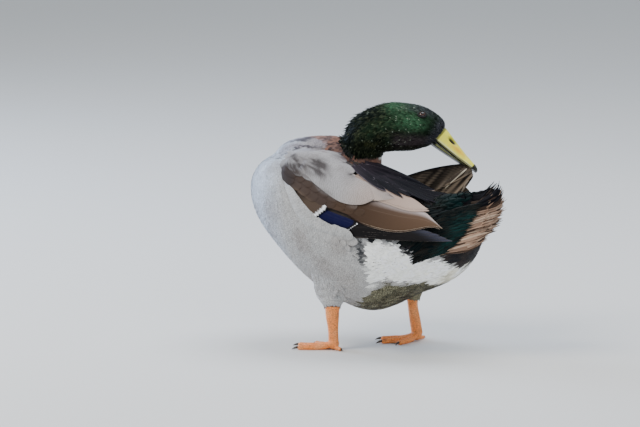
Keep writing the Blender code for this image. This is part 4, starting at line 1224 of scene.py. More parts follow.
def horn_material(name):
    """Bill horn: waxy, with fine pits and faint darker clouds."""
    wax = dict(roughness=0.45, coat_weight=0.05, coat_roughness=0.3, specular_ior_level=0.28)
    return grained_material(name, 260.0, 4.0, 0.4, 0.0002, (0.86, 1.14), **wax)


class DRAKE_OT_eyes(bpy.types.Operator):
    """Sets the eyes with their lids"""

    bl_idname = "drake.eyes"
    bl_label = "Eyes"

    def execute(self, context):
        glass = get_material("wet eye", eye_material)
        rim = get_material("lid skin", lid_material)
        for name, toward in (("eye_right", 1), ("eye_left", -1)):
            centre, out, ahead = eye_frame(toward)
            over = np.cross(out, ahead)
            lat = np.linspace(0, np.pi, 40)[:, None]
            lon = np.linspace(0, 2 * np.pi, 56, endpoint=False)[None, :]
            ball = centre + EYE_RADIUS * (
                (np.cos(lat) + 0 * lon)[..., None] * out
                + (np.sin(lat) * np.cos(lon))[..., None] * ahead
                + (np.sin(lat) * np.sin(lon))[..., None] * over
            )
            mesh = tube_mesh(name + "_ball", ball)
            far = EYE_RADIUS * np.sin(lat) + 9 * (np.cos(lat) < 0)
            add_values(mesh, "Iris", "FLOAT", np.broadcast_to(far, ball.shape[:2]))
            add_piece(mesh, glass, name, name)
            self.make_lid(name, centre, out, ahead, over, rim)
        return {"FINISHED"}

    def make_lid(self, name, centre, out, ahead, over, material):
        """The lid as a closed ring of round sections about an oval path."""
        turn = np.linspace(0, 2 * np.pi, 72, endpoint=False)
        path = (
            centre
            + (2.35 - 0.5 * np.abs(np.cos(turn)))[:, None] * out
            + (LID_WIDE * np.cos(turn))[:, None] * ahead
            + (LID_TALL * np.sin(turn) * (1 - 0.12 * np.cos(turn) ** 8))[:, None] * over
        )
        outward = unit(path - centre - dot(path - centre, out) * out)
        bend = np.linspace(0, 2 * np.pi, 12, endpoint=False)[None, :, None]
        thick = 0.85 + 0.2 * np.maximum(np.sin(turn), 0)
        section = np.cos(bend) * outward[:, None, :] * 1.25 + np.sin(bend) * out * 0.8
        rings = path[:, None, :] + thick[:, None, None] * section
        count, sides = rings.shape[:2]
        i, j = np.meshgrid(np.arange(count), np.arange(sides), indexing="ij")
        p, q, r, s = (
            ((i + k) % count * sides + (j + m) % sides).ravel() for k, m in ((0, 0), (0, 1), (1, 0), (1, 1))
        )
        points = rings.reshape(-1, 3)
        mesh, _ = new_mesh(name + "_lid", points, turned_out(points, [np.stack([p, q, s, r], -1)]))
        add_piece(mesh, material, "head")


def eye_material(name):
    """A wet eye: a dark brown iris round a black pupil, darker at its rim, under a clear coat."""
    wet = dict(roughness=0.18, coat_weight=0.2, coat_roughness=0.05, specular_ior_level=0.35)
    material, tree, shader = new_material(name, **wet)
    far = add_node(tree, "ShaderNodeAttribute", attribute_name="Iris").outputs["Fac"]
    pupil = add_node(tree, "ShaderNodeMapRange", (far, 1.75, 2.15, 0.0, 1.0))
    limbus = add_node(tree, "ShaderNodeMapRange", (far, 3.0, 3.7, 0.0, 1.0))
    black, brown, dark = ((*linear(code), 1) for code in ("#030202", "#3A1E12", "#050404"))
    iris = add_node(tree, "ShaderNodeMix", {0: pupil, 6: black, 7: brown}, **RGBA).outputs[2]
    whole = add_node(tree, "ShaderNodeMix", {0: limbus, 6: iris, 7: dark}, **RGBA).outputs[2]
    set_inputs(tree, shader, {"Base Color": whole})
    return material


def lid_material(name):
    """Bare lid: thin, dark, finely wrinkled skin."""
    dark = dict(base_color=linear("#0C0B0B"), roughness=0.65, specular_ior_level=0.15)
    return grained_material(name, 900.0, 3.0, 0.5, 0.0002, **dark)


# Pieces: large feathers


def vane_profile(s, length, half_width, point):
    """Half width along a feather, as a share: it widens over the first third and closes at its tip,
    in a half circle when point is 0 and in a long taper when it is 1."""
    start = blend_number(max(0.25, 1 - 1.05 * half_width / length), 0.42, point)
    t = np.clip((s - start) / (1 - start), 0, 1)
    tip = blend_number(np.sqrt(np.clip(1 - t**2, 0, 1)), (1 - t**1.5) ** 0.9, point)
    return (0.5 + 0.5 * ease(s / 0.35)) * tip


VANE_Q = np.array([-1, -0.95, -0.86, -0.7, -0.48, -0.24, 0, 0.24, 0.48, 0.7, 0.86, 0.95, 1.0])
LOCK_Q = np.array([-1, -0.55, 0, 0.55, 1.0])  # places across a narrow feather
SMALL_Q = np.array([-1, 0, 1.0])


def vane_places(rows):
    """Places along a feather, closer together towards its tip."""
    t = np.linspace(0, 1, rows)
    return 1 - (1 - t) ** 1.5


class FeatherSheet:
    """Gathers large feathers of one piece: each is a thin closed plate between two grids of points,
    with its colours, its millimetres along and across, and its own cell of the OFBake map."""

    def __init__(self, name):
        self.name, self.items = name, []

    def add(
        self, middle, normal, along, across, rim, colour, edge, edge_width=0.0, rough=0.55, bars=0.0,
        thick=0.3
    ):
        half = thick / 2 * np.clip(rim / 1.2, 0.35, 1)[..., None] * normal
        self.items.append((middle, half, along, across, rim, colour, edge, edge_width, rough, bars))

    def build(self, material, slot, *replaced):
        cells = math.ceil(math.sqrt(len(self.items)))
        points, faces, data, start = [], [], [], 0
        for k, item in enumerate(self.items):
            middle, half, along, across, rim, colour, edge, width, rough, bars = item
            rows, columns = middle.shape[:2]
            count = rows * columns
            both = np.vstack([(middle + half).reshape(-1, 3), (middle - half).reshape(-1, 3)])
            points.append(both)
            faces += [f + start for f in turned_out(both - both.mean(axis=0), [plate_faces(rows, columns)])]
            start += 2 * count
            s = np.linspace(0, 1, rows)[:, None] + np.zeros((1, columns))
            q = np.linspace(0, 1, columns)[None, :] + np.zeros((rows, 1))
            for under in (0, 1):
                wide, high = k % cells + 0.04 + 0.44 * q + 0.48 * under, k // cells + 0.05 + 0.9 * s
                spot = np.stack([wide, high], -1) / cells
                vane = np.stack([along / 100 + 0.37 * (k % 7), across / 100 + 0.5], -1)
                # painted shade: each feather's underside a darker copy of its colours
                colours = np.broadcast_to(colour, middle.shape) * (1.0 - 0.12 * under)
                edges = rgba(np.broadcast_to(edge, middle.shape), np.full((rows, columns), width / 4))
                colours = rgba(colours, np.broadcast_to(bars, (rows, columns)))
                even = np.broadcast_to(rough, (rows, columns)).reshape(-1)
                data.append((
                    colours.reshape(-1, 4), edges.reshape(-1, 4), even, rim.reshape(-1),
                    spot.reshape(-1, 2), vane.reshape(-1, 2),
                ))
        col, edges, roughs, rims, spots, vanes = (np.concatenate(v) for v in zip(*data))
        mesh, corners = new_mesh(self.name, np.vstack(points), faces)
        add_values(mesh, "Col", "FLOAT_COLOR", col)
        add_values(mesh, "Edge", "FLOAT_COLOR", edges)
        add_values(mesh, "Rough", "FLOAT", roughs)
        add_values(mesh, "Rim", "FLOAT", rims)
        add_map(mesh, "OFBake", corners, spots)
        add_map(mesh, "Vane", corners, vanes)
        add_piece(mesh, material, slot, *replaced)


def degrees_across(degrees):
    return np.radians(degrees) * ARC


def wing_height(x, across):
    """Height of the folded wing's body over its sheet: a dome between its upper and lower edges."""
    upper, lower = (degrees_across(v) for v in wing_edges(x))
    q = (across - (upper + lower) / 2) / ((lower - upper) / 2)
    fade = ease((x - CORE_START + 4) / 18) * ease((CORE_END + 30 - x) / 60)
    return (
        smooth_at(x, np.linspace(CORE_START, CORE_END, 5), WING_RISE) * np.sqrt(np.clip(1 - q**2, 0, 1))
        * fade
    )


def lay_on_wing(sheet, side, x, across, s, q, half, lift, look, camber=0.5, tilt=0.4):
    """Puts a feather given by its places on the wing's sheet there: its height is the wing's, plus
    its own lift from root to tip, a camber across it and a tilt that raises its lower edge."""
    deg = np.degrees(across / ARC)
    near_top = ease((deg + 6) / 30)
    height = wing_height(x, across) + (lift[0] + (lift[1] - lift[0]) * s) * (0.3 + 0.7 * near_top)
    height = height + 3.5 * bump((x + 46) / 26) * ease((14 - deg) / 14)
    height = height - 4.0 * ease((-x - 85) / 12) * ease((58 - deg) / 12)
    height = height + tilt * q + camber * (1 - q**2) - 6.5 * ease((x - 20) / 65) * ease((24 - deg) / 16)
    middle = shell_point(side, x, across, height)
    above = shell_point(side, x, across, height + 1.0)
    span = np.hypot(np.gradient(x, axis=0), np.gradient(across, axis=0))
    along = np.cumsum(span, axis=0)
    wide = half * q
    rim = np.minimum(half * (1 - np.abs(q)), along[-1:] - along)
    look = look(x, np.degrees(across / ARC), s, q) if callable(look) else look
    sheet.add(middle, unit(above - middle), along, wide, rim, **look)


def wing_vane(
    sheet, side, root, tip, half_width, lift, look, point=0.0, bow=0.0, rows=16, camber=0.5, tilt=0.4
):
    """A feather from root to tip, each (x, degrees down from the top line). half_width is one size,
    or one for the upper and one for the lower vane; bow bends its shaft downwards."""
    s = vane_places(rows)[:, None]
    q = VANE_Q[None, :]
    start = np.array([root[0], degrees_across(root[1])])
    way = np.array([tip[0], degrees_across(tip[1])]) - start
    length = np.linalg.norm(way)
    over = np.array([-way[1], way[0]]) / length
    upper, lower = (half_width, half_width) if np.ndim(half_width) == 0 else half_width
    half = np.where(q < 0, upper, lower) * vane_profile(s, length, (upper + lower) / 2, point)
    offset = half * q + 4 * s * (1 - s) * bow
    x = start[0] + s * way[0] + offset * over[0]
    across = start[1] + s * way[1] + offset * over[1]
    lay_on_wing(sheet, side, x, across, s + 0 * q, q + 0 * s, half, lift, look, camber, tilt)


def wing_leaf(sheet, side, edges, lift, look, rows=26, camber=0.5, tilt=0.4):
    """A feather between two edges given as rows of (x, upper degrees, lower degrees)."""
    s = vane_places(rows)
    knots, tops, bottoms = np.asarray(edges, float).T
    line = knots[0] + (knots[-1] - knots[0]) * s[:, None]
    upper, lower = (degrees_across(smooth_at(line, knots, v)) for v in (tops, bottoms))
    q = VANE_Q[None, :]
    half = np.maximum((lower - upper) / 2, 0.05)
    across = (upper + lower) / 2 + half * q
    x = line - 0.10 * half * q**2 + 0 * q
    lay_on_wing(
        sheet, side, x, across, s[:, None] + 0 * q, q + 0 * half, half + 0 * q, lift, look, camber, tilt
    )


def wing_colour(x, deg, shift=0.0):
    """Colour of the shoulder feathers and coverts by place: pale grey turning pinkish behind, bluish in
    front along the top edge as a painted highlight of the sky, a dark cloud near the wrist, a brown band
    along the lower side that a shift moves down, and near black along the back."""
    hues = bpy.context.scene.drake_colours
    place = joined(x, deg * 1.29, 0 * x)
    colour = np.broadcast_to(np.array(hues.wing_grey), place.shape).copy()
    colour = painted(
        colour,
        ("#AC9B90", 0.8 * ease((x + 18) / 45)),
        # painted highlight: bluish grey where the top edge in front catches the sky's light
        ("#9FA3AE", 0.6 * ease((-x - 55) / 25) * ease((26 - deg) / 12)),
        ("#857F7C", 0.45 * ease((mottle(place, 13, 41) - 0.5) / 0.3)),
    )
    ragged = mottle(place * [0.6, 1, 1], 4, 42)
    grain = ease((mottle(place * [0.3, 1.5, 1], 2.4, 47) - 0.25) / 0.5)
    smudge = 1.5 * bump((x + 47) / 13) * bump((deg - 34 - 0.25 * (x + 47)) / 8) * (0.6 + 0.8 * ragged)
    smudge = (
        smudge + 0.8 * bump((x + 89) / 7) * bump((deg - 29) / 5)
        + 0.6 * bump((x + 9) / 6) * bump((deg - 27) / 3)
    )
    smudge = smudge + 1.3 * bump((x + 31) / 15) * bump((deg - 3) / 9)
    smudge = (
        smudge + bump((x + 78) / 16) * bump((deg - 50) / 15) * (0.55 + 0.7 * ragged)
        + bump((x + 72) / 13) * bump((deg - 41) / 8) * (0.3 + 0.8 * ragged)
    )
    colour = blend(colour, linear("#312A29"), 0.88 * np.clip(smudge * (0.45 + 0.9 * grain), 0, 1))
    streaks = (
        ease((mottle(place * [0.35, 1.2, 1], 5, 43) - 0.45) / 0.25) * ease((22 - deg) / 10)
        * bump((x + 45) / 40)
    )
    colour = blend(colour, linear("#77696A"), 0.6 * streaks)
    middle = (
        np.interp(x, (-95, -73, -45, -25, -2.5, 20), (42, 43.5, 47, 52, 54, 56)) + shift
        - 3 * (ragged - 0.5) - 2 * grain
    )
    middle = middle + 10 * ease((x + 22) / 18) * (shift > -3)
    band = ease((deg - middle) / (10 + 4 * ease((-x - 60) / 20)))
    colour = painted(
        colour,
        ("#3B2D25", 0.96 * band),
        ("#2E2827", 0.7 * band * ease((-x - 60) / 14)),
    )
    buff = (
        ease((deg - np.interp(x, (-80, -60, -45, -30, 0), (58, 58.5, 61, 63.5, 66))) / 3)
        * ease((-x - 12) / 12)
    )
    colour = painted(
        colour,
        ("#54463B", 0.85 * buff * ease((x + 74) / 14)),
        ("#453529", 0.8 * band * ease((x + 22) / 16)),
    )
    ridge = np.interp(x, (-60, -34.6, -20, -5, 25, 46, 60, 80), (-16, -9, 1, 12, 25, 27.5, 26, 20))
    colour = blend(colour, linear("#2B252C"), 0.9 * grain * ease((ridge + 8 - deg) / 5))
    return blend(colour, linear("#07070B"), 0.97 * ease((ridge - deg + 3 * (grain - 0.5)) / 4))


def wing_look(rng, bars=0.8, edge=None, width=0.5, gain=1.05, rough=0.65, spread=0.035, shift=0.0):
    """The look of a feather that takes its colour from its place on the wing."""
    shade = 1 + spread * rng.standard_normal()

    def look(x, deg, s, q):
        colour = np.clip(wing_colour(x, deg, shift) * shade, 0, 1)
        rim = np.clip(colour * gain, 0, 1) if edge is None else np.broadcast_to(edge, colour.shape)
        dark = colour.mean(-1) < 0.05
        return dict(colour=colour, edge=rim, edge_width=width, rough=rough, bars=np.where(dark, 0.0, bars))

    return look


def plain_look(
    root, tip, edge, width, rough=0.55, bars=0.0, upper=None, upper_from=0.3, tip_from=0.0, edge_from=0.0
):
    """The look of a feather that runs from one colour to another, with a margin of a third. upper
    gives its upper vane another colour from a share of its width on."""
    root, tip, edge = (linear(c) for c in (root, tip, edge))

    def look(x, deg, s, q):
        colour = blend(root + np.zeros(s.shape + (3,)), tip, ease((s - tip_from) / (1 - tip_from)))
        if upper is not None:
            colour = blend(colour, linear(upper), ease((-q - upper_from) / 0.25) * ease((s - 0.25) / 0.3))
        return dict(
            colour=colour, edge=blend(colour, edge, ease((s - edge_from) / 0.15)), edge_width=width,
            rough=rough, bars=bars
        )

    return look


def bar_look(root, colour, white_from, black_from, length, rough=0.4):
    """The look of a feather with a white band and a black tip or a black band and a white tip, at
    millimetres from its tip."""

    def look(x, deg, s, q):
        left = (1 - s) * length
        made = blend(linear(root) + np.zeros(s.shape + (3,)), colour, ease((s - 0.2) / 0.2))
        for code, at in sorted((("#E9E9EA", white_from), ("#08080C", black_from)), key=lambda v: -v[1]):
            made = blend(made, linear(code), ease((at - left) / 0.6))
        return dict(colour=made, edge=made, edge_width=0.0, rough=rough, bars=0.0)

    return look


TERTIAL = [
    (-20, 46, 57), (7, 44, 63.0), (22, 40, 66.3), (41, 37, 68.0), (57, 36, 68.3), (69, 36, 67.4),
    (80, 36.6, 65.1), (90, 40, 61.8), (99, 47, 58.6), (107, 54, 58.0), (114, 60, 60.2)
]
UNDER_TERTIAL = [
    (-20, 50, 57), (7, 52, 63.8), (22, 52, 67.3), (41, 52, 69.2), (57, 52, 69.6), (69, 50, 68.6),
    (80, 49, 66.2), (90, 50, 62.9), (99, 53, 59.6), (106, 57, 59.4), (111, 61, 61.1)
]
INNER_TERTIAL = [
    (-5, 20, 36), (20, 18, 39), (45, 19, 40), (60, 21, 40.5), (75, 27, 39.5), (84, 32, 36.5),
    (89, 34.4, 34.9)
]
BROAD_SCAPULAR = [
    (-66, 30, 44), (-44, 28, 49), (-20, 27, 53.4), (0, 27, 55.4), (14, 29, 53.6), (24, 34, 49.6),
    (30, 41.5, 43.5)
]
HIND_SCAPULAR = [(-28, 24, 38), (0, 24, 43), (20, 24, 45), (35, 26, 42.5), (45, 30, 37.5), (49.5, 33.3, 34)]
SADDLE = [
    ((-22, -8), (14, 3), 7), ((-20, 0), (16, 10), 6.5), ((-20, 8), (16, 21), 6), ((-17, 14), (24, 25), 6),
    ((-10, 4), (34, 20), 7), ((-8, 17), (36, 29), 5.5), ((2, 9), (46, 23), 6), ((12, 16), (55, 27.5), 5.2),
    ((20, 8), (62, 22), 5.5), ((-2, -2), (50, 13), 7), ((30, 2), (72, 17), 5), ((-8, 0), (32, 12), 7),
    ((10, -4), (66, 8), 7), ((30, -8), (80, 6), 6), ((40, 2), (86, 14), 4.5), ((44, 8), (84, 21), 4),
    ((46, -6), (92, 0), 4), ((50, 4), (92, 8), 3.4), ((54, 12), (88, 26), 3)
]
PRIMARIES = ((127, 77), 0.2), ((120, 73), 0.5), ((112, 69), 0.8), ((103, 66), 1.1)  # tip and lift
SCAPULAR_ROWS = (40, 4, -80), (31, 5, -88), (22, 5, -90), (13, 4, -94), (5, 3, -94)  # degrees, count, start
FLANK_LIFTS = (
    (2.0, 2.8), (2.0, 2.6), (1.8, 2.3), (1.5, 1.9), (1.1, 1.5), (0.8, 1.2), (0.5, 0.9), (0.2, 0.6),
    (-0.2, 0.2),
)  # of root and tip, for each row of flank feathers over the wing's edge
FLANK_OVER_WING = (
    (-112, -104, -93, -85, -70, -60, -50, -40, -30, 6), (30, 38, 47, 55, 61, 66, 70, 73.5, 76, 79.2)
)


def fold_wing(sheet, side, rng):
    """All feathers of a folded wing, from the lowest layer up."""
    hues = bpy.context.scene.drake_colours
    for k, (tip, lift) in enumerate(PRIMARIES):
        look = plain_look("#181617", "#3C3E4C", "#7C716A", 0.45, rough=0.45, tip_from=0.72)
        wing_vane(
            sheet, side, (8, 80 - 1.6 * k), tip, 7.0, (lift, lift), look, point=0.75, bow=-8 + 0.6 * k,
            rows=22, tilt=0.25
        )
    violet = np.array(hues.speculum)
    for k in range(8):
        share = k / 7
        tip = (5.5 + 15 * share, 79.5 - 10.5 * share)
        colour = blend(violet * 0.2, violet, ease((share - 0.35) / 0.5))
        look = bar_look("#0E0D14", colour, 1.7, 5.2, 62)
        wing_vane(
            sheet, side, (-56, 86 - 2.6 * k), tip, 3.6, (0.9 + 0.12 * k, 1.1 + 0.12 * k), look, point=0.25,
            rows=22, camber=0.35, tilt=0.35
        )
    for k in range(7):
        share = k / 6
        tip = (-31.0 + 14 * share, 77.5 - 12.5 * share)
        look = bar_look("#3A3029", linear("#4C3F35"), 6.2 + rng.uniform(-0.4, 0.4), 3.3, 40, rough=0.6)
        wing_vane(
            sheet, side, (tip[0] - 40, tip[1] - 5), tip, 4.2, (1.2, 2.3 + 0.1 * k), look, point=0.1,
            camber=0.4
        )
    for k in range(9):
        x = -96 + 11.5 * k
        first, last = (
            np.interp(v, (-96, -70, -54, -32, -19, 0, 20), (56, 60, 62, 64.5, 64, 61, 62)) - 5.4
            for v in (x, x + 30)
        )
        wing_vane(
            sheet, side, (x, first - 1.5), (x + 30, last + 0.8), 8.2, (1.7, 2.7),
            wing_look(rng, 0.3, gain=1.0, shift=-7), rows=14
        )
    wing_leaf(
        sheet, side, UNDER_TERTIAL, (1.7, 1.6),
        plain_look("#2C201A", "#43322A", "#CDB8A2", 0.6, 0.5, edge_from=0.35), tilt=0.5
    )
    brown = plain_look(
        "#33251C", "#5C4737", "#D3BCA2", 0.7, 0.5, upper="#ACA09C", upper_from=0.36, edge_from=0.3
    )
    wing_leaf(sheet, side, TERTIAL, (2.2, 2.4), brown, tilt=0.6)
    pale = plain_look("#8F7C70", "#B09A8C", "#CDB9AA", 0.8, 0.5)
    wing_leaf(sheet, side, [(x + 2, a + 2, b + 2.5) for x, a, b in INNER_TERTIAL], (2.5, 2.6), pale)
    wing_leaf(sheet, side, INNER_TERTIAL, (3.0, 3.1), pale)
    for k in range(8):
        x, deg = -99 + 11.5 * k, 42 + 1.2 * k
        wing_vane(
            sheet, side, (x, deg), (x + 34, deg + 7.5 - 0.3 * k), 7.5, (2.0, 3.0),
            wing_look(rng, 0.3, gain=1.0, shift=-5), rows=14
        )
    wing_leaf(sheet, side, HIND_SCAPULAR, (3.3, 3.6), wing_look(rng, 0.3, linear("#D2BCA6"), 0.8, shift=12))
    for row, (deg, count, start) in enumerate(SCAPULAR_ROWS):
        for k in range(count):
            x = start + 14 * k + rng.uniform(-1.5, 1.5)
            lean = 4.5 - 0.6 * k
            wing_vane(
                sheet, side, (x - 12, deg - lean), (x + 24, deg + lean), 10.5,
                (3.2 + 0.04 * row, 3.75 + 0.07 * row), wing_look(rng, width=0.9, gain=1.02, shift=-1),
                rows=14, camber=0.35, tilt=0.12
            )
    wing_leaf(
        sheet, side, BROAD_SCAPULAR, (3.7, 4.2), wing_look(rng, 0.8, None, 1.6, 1.1, shift=-2), camber=0.7,
        tilt=0.2
    )
    for root, tip, width in SADDLE:
        front = root[0] < 0
        edge = ("#4A4550", "#232128", "#35323B")[rng.integers(3)] if not front else "#6A636B"
        tone = ("#07070B", "#120F14", "#0C0C13")[rng.integers(3)] if not front else "#2A242B"
        wing_vane(
            sheet, side, root, tip, width, (3.9, 4.5),
            plain_look(tone, "#0B0B12", edge, 0.6 + 0.3 * front, 0.6), point=0.7 + 0.3 * (width < 5),
            rows=18, camber=0.8
        )
    for row in range(9):
        for k in range(8 * (row > 4), 13 - (row > 1) + (row > 4)):
            x = -110 + 8.8 * k + 4.4 * (row % 2) + rng.uniform(-1, 1) * (k < 11)
            first, last = (np.interp(v, *FLANK_OVER_WING) + 2.2 + 4.4 * row for v in (x, x + 21))
            front = 1.5 * ease((-x - 78) / 14)
            foremost = 2.0 * ease((-x - 94) / 12)
            hind = 1.6 * ease((x + 22) / 16) * (row > 0)
            wing_vane(
                sheet, side, (x, first), (x + 21, last), 4.6 + 2.2 * (k > 10),
                tuple(v - front - foremost - hind for v in FLANK_LIFTS[row]), flank_look(side, rng),
                rows=10, camber=0.3, tilt=-0.3, point=0.3
            )


def flank_look(side, rng):
    """The look of a flank feather that lies over the edge of the folded wing."""
    shade = 1 + 0.03 * rng.standard_normal()

    def look(x, deg, s, q):
        flat = shell_point(side, np.minimum(x, 8.0), degrees_across(deg), 1.0).reshape(-1, 3) - [0, 0, 4.0]
        colour = np.clip(torso_colour(flat)[0] * shade, 0, 1).reshape(x.shape + (3,))
        return dict(colour=colour, edge=colour * 1.04, edge_width=0.5, rough=0.65, bars=0.9)

    return look


class DRAKE_OT_wings(bpy.types.Operator):
    """Builds both folded wings: primaries, bright bar, coverts, tertials and shoulder feathers"""

    bl_idname = "drake.wings"
    bl_label = "Wings"

    def execute(self, context):
        material = get_material("wing feathers", plumage_material, **WING_FINISH)
        for name, side, seed in (("left", LEFT, 5), ("right", RIGHT, 6)):
            rng = np.random.default_rng(seed)
            sheet = FeatherSheet(f"wing_{name}_feathers")
            fold_wing(sheet, side, rng)
            sheet.build(material, f"wing_{name}", f"wing_{name}")
            self.pad(name, side)
        sheet = FeatherSheet("lifted_feathers")
        self.lift_feathers(sheet, np.random.default_rng(7))
        sheet.build(material, "wing_right")
        return {"FINISHED"}

    def pad(self, name, side):
        """The wing's own body under its feathers: a closed pad whose height is the wing's."""
        x = np.linspace(CORE_START, CORE_END, 60)
        upper, lower = (degrees_across(v) for v in wing_edges(x))
        q = np.sin(np.linspace(-1, 1, 30) * np.pi / 2)
        across = (upper + lower)[:, None] / 2 + (lower - upper)[:, None] / 2 * q
        x = x[:, None] + 0 * across
        top = shell_point(side, x, across, wing_height(x, across) - 0.3)
        bottom = shell_point(side, x, across, -6.0 + 0 * x)
        points = np.vstack([top.reshape(-1, 3), bottom.reshape(-1, 3)])
        faces = turned_out(points, [plate_faces(60, 30)])
        deg = np.degrees(across / ARC)
        # painted shade: the pad is a darker copy of the wing's colours, darkest at its edges
        shade = blend(
            wing_colour(x, deg) * 0.7, linear("#2C221C"),
            np.maximum(ease((deg - 42) / 8), ease((24 - deg) / 10))
        )
        mesh, _ = new_mesh(f"wing_{name}_body", points, faces)
        add_values(
            mesh, "Col", "FLOAT_COLOR", rgba(np.tile(shade.reshape(-1, 3), (2, 1)), np.zeros(len(points)))
        )
        add_piece(mesh, get_material("downy skin", skin_material), f"wing_{name}")

    def lift_feathers(self, sheet, rng):
        """The far wing's inner feathers, drawn up and back to the bill: broad overlapping vanes with
        slanting streaks of painted light and shade along the barbs, a pale-shafted feather and two round
        ones behind it."""
        for k, (first, last) in enumerate(((0, 1.5), (0.9, 2.7), (2.0, 4.0))):
            s, q = vane_places(30)[:, None], np.linspace(0, 1, 21)[None, :]
            row = first + (last - first) * q + 0 * s
            net = through([np.ravel(path) for path in LIFTED], row).reshape(30, 21, 3, 3)
            net = (
                net
                + (
                    (0.9 * (row < 0.9) * (0.9 - row) / 0.9)[..., None] * np.ravel(RAISED)
                ).reshape(30, 21, 3, 3)
            )
            t = 2 * s + 0 * q
            middle = (
                np.stack(
                    [
                        sum(
                            w * net[..., i, axis] for i,
                            w in enumerate(((1 - t) * (2 - t) / 2, t * (2 - t), t * (t - 1) / 2))
                        )
                        for axis in range(3)
                    ],
                    -1
                )
                + LIFTED_FACING * (2.4 - 1.2 * k)
            )
            normal = unit(np.cross(np.gradient(middle, axis=0), np.gradient(middle, axis=1)))
            normal = normal * np.sign(dot(normal, LIFTED_FACING))
            # painted light and shade: slanting streaks stand for lit barbs and the shadows between them
            slant = middle @ np.array([0.66, 0.38, -0.64])
            lines = mottle(joined(slant * 2.6, slant * 0 + 7 * k, (middle[..., 2]) * 0.10), 5, 61 + k)
            colour = blend(
                linear("#16120F"), linear("#8E7F6D"),
                ease((lines - 0.32) / 0.4) * (0.38 + 0.25 * (k == 2) + (0.6 - 0.2 * (k == 2)) * q)
                * ease((s - 0.05) / 0.3)
            )
            colour = painted(
                colour,
                ("#0F0D0D", 0.85 * ease((0.16 - q) / 0.12) + 0 * s),
                ("#A09484", 0.6 * ease((row - 3.1) / 0.6) * ease((s - 0.45) / 0.3)),
            )
            along, wide = s * 120 + 0 * q, 30 * (q - 0.5) + 0 * s
            rim = np.minimum(15 - np.abs(wide), 120 - along)
            sheet.add(middle, normal, along, wide, rim, colour, linear("#5E5347"), 0.5, 0.5)
        shaft = dict(colour=linear("#4B423A"), edge=linear("#E9DFC6"), edge_width=0.3, rough=0.5)
        free_vane(
            sheet, [(23, 68.5, 146), (54, 70.2, 178), (80.5, 71.5, 202)], 4.2, LIFTED_FACING, shaft,
            point=0.5, quill=0.9
        )
        for path, width in (
            ([(38, 82, 146), (54, 80, 164), (70, 77, 182)], 8.0),
            ([(48, 86, 146), (63, 83, 163), (78, 79, 177)], 6.5)
        ):
            rounded = dict(colour=linear("#5C5145"), edge=linear("#8F8676"), edge_width=0.8, rough=0.5)
            free_vane(sheet, path, width, LIFTED_FACING, rounded, point=0.0, streaks=rng)


WING_FINISH = dict(streak=0.07, bars=0.30, shaft=0.05, specular_ior_level=0.07)
LIFTED_FACING = np.array([0.12, -0.97, -0.2])
RAISED = ((-10, 0, 6), (-6, 0.5, 10), (-3, 0.5, 6))
LIFTED = [
    ((-24, 67, 166), (28, 72.5, 187), (84, 79.0, 202.5)),
    ((-10, 66, 158), (40, 70.6, 180), (85, 76.6, 199.5)), ((6, 65, 152), (52, 68.8, 172), (87, 74.2, 196)),
    ((22, 64, 146), (62, 67.2, 164), (87, 72.0, 191)), ((38, 63, 143), (63, 65.8, 158), (79.5, 70.0, 187))
]


def free_vane(
    sheet, path, half_width, facing, look, point=0.8, rows=22, camber=0.8, streaks=None, quill=0.0,
    curl=0.0, places=VANE_Q
):
    """A feather held free of the body along a smooth path, its flat side towards the facing. A quill
    raises the shaft as a light rod of that width."""
    s = vane_places(rows)
    path = np.asarray(path, float)
    centre = through(path, s * (len(path) - 1))
    step = unit(np.gradient(centre, axis=0))
    facing = np.asarray(facing, float)
    facing = (
        through(facing, s * (len(facing) - 1)) if facing.ndim > 1 else np.broadcast_to(facing, centre.shape)
    )
    over = unit(np.cross(facing, step))
    normal = unit(np.cross(step, over))
    length = np.linalg.norm(np.diff(centre, axis=0), axis=-1).sum()
    q = places[None, :]
    half = half_width * vane_profile(s[:, None], length, half_width, point) + 0 * q
    rise = camber * (1 - q**2) - curl * half * np.abs(q)
    middle = (
        centre[:, None, :] + (half * q)[..., None] * over[:, None, :] + rise[..., None] * normal[:, None, :]
    )
    along = s[:, None] * length + 0 * q
    rim = np.minimum(half * (1 - np.abs(q)), length - along)
    look = dict(look)
    if streaks is not None:
        lines = np.sin(q * 23 + s[:, None] * 9 + streaks.uniform(0, 6)) * 0.22 + 1
        look["colour"] = np.clip(look["colour"] * lines[..., None], 0, 1)
    if quill:
        look["colour"] = blend(
            look["colour"] + np.zeros(middle.shape), look["edge"], ease((quill - np.abs(half * q)) / 0.5)
        )
        middle = middle + (0.6 * ease((quill - np.abs(half * q)) / 0.6))[..., None] * normal[:, None, :]
    sheet.add(middle, np.broadcast_to(normal[:, None, :], middle.shape), along, half * q, rim, **look)


# Pieces: tail

TAIL_ROOT = np.array([84.0, 5.0, 122.0])
TAIL_HEADING, TAIL_SPREAD = math.radians(13), math.radians(38)
TAIL_RISE, TAIL_DROOP = math.radians(50), math.radians(36)
TAIL_LENGTH, TAIL_SHORTER = 93.0, 24.0


def tail_way(fan):
    """Way of a tail feather at its place in the fan, -1 far left to 1 far right; the fan is arched."""
    heading = TAIL_HEADING + TAIL_SPREAD * fan
    rise = TAIL_RISE - TAIL_DROOP * np.abs(fan) ** 1.7
    return joined(np.cos(rise) * np.cos(heading), np.cos(rise) * np.sin(heading), np.sin(rise))


def tail_up(fan, step=0.02):
    return unit(np.cross(tail_way(fan), tail_way(fan + step) - tail_way(fan - step)))


def tail_point(fan, reach, lift):
    """Point of the fan: reach along the feather at that place and lift above it."""
    fan, reach, lift = np.broadcast_arrays(np.asarray(fan, float), reach, lift)
    return TAIL_ROOT + reach[..., None] * tail_way(fan) + lift[..., None] * tail_up(fan)


def covert_reach(fan):
    return 46 + 30 * bump(fan / 0.3)


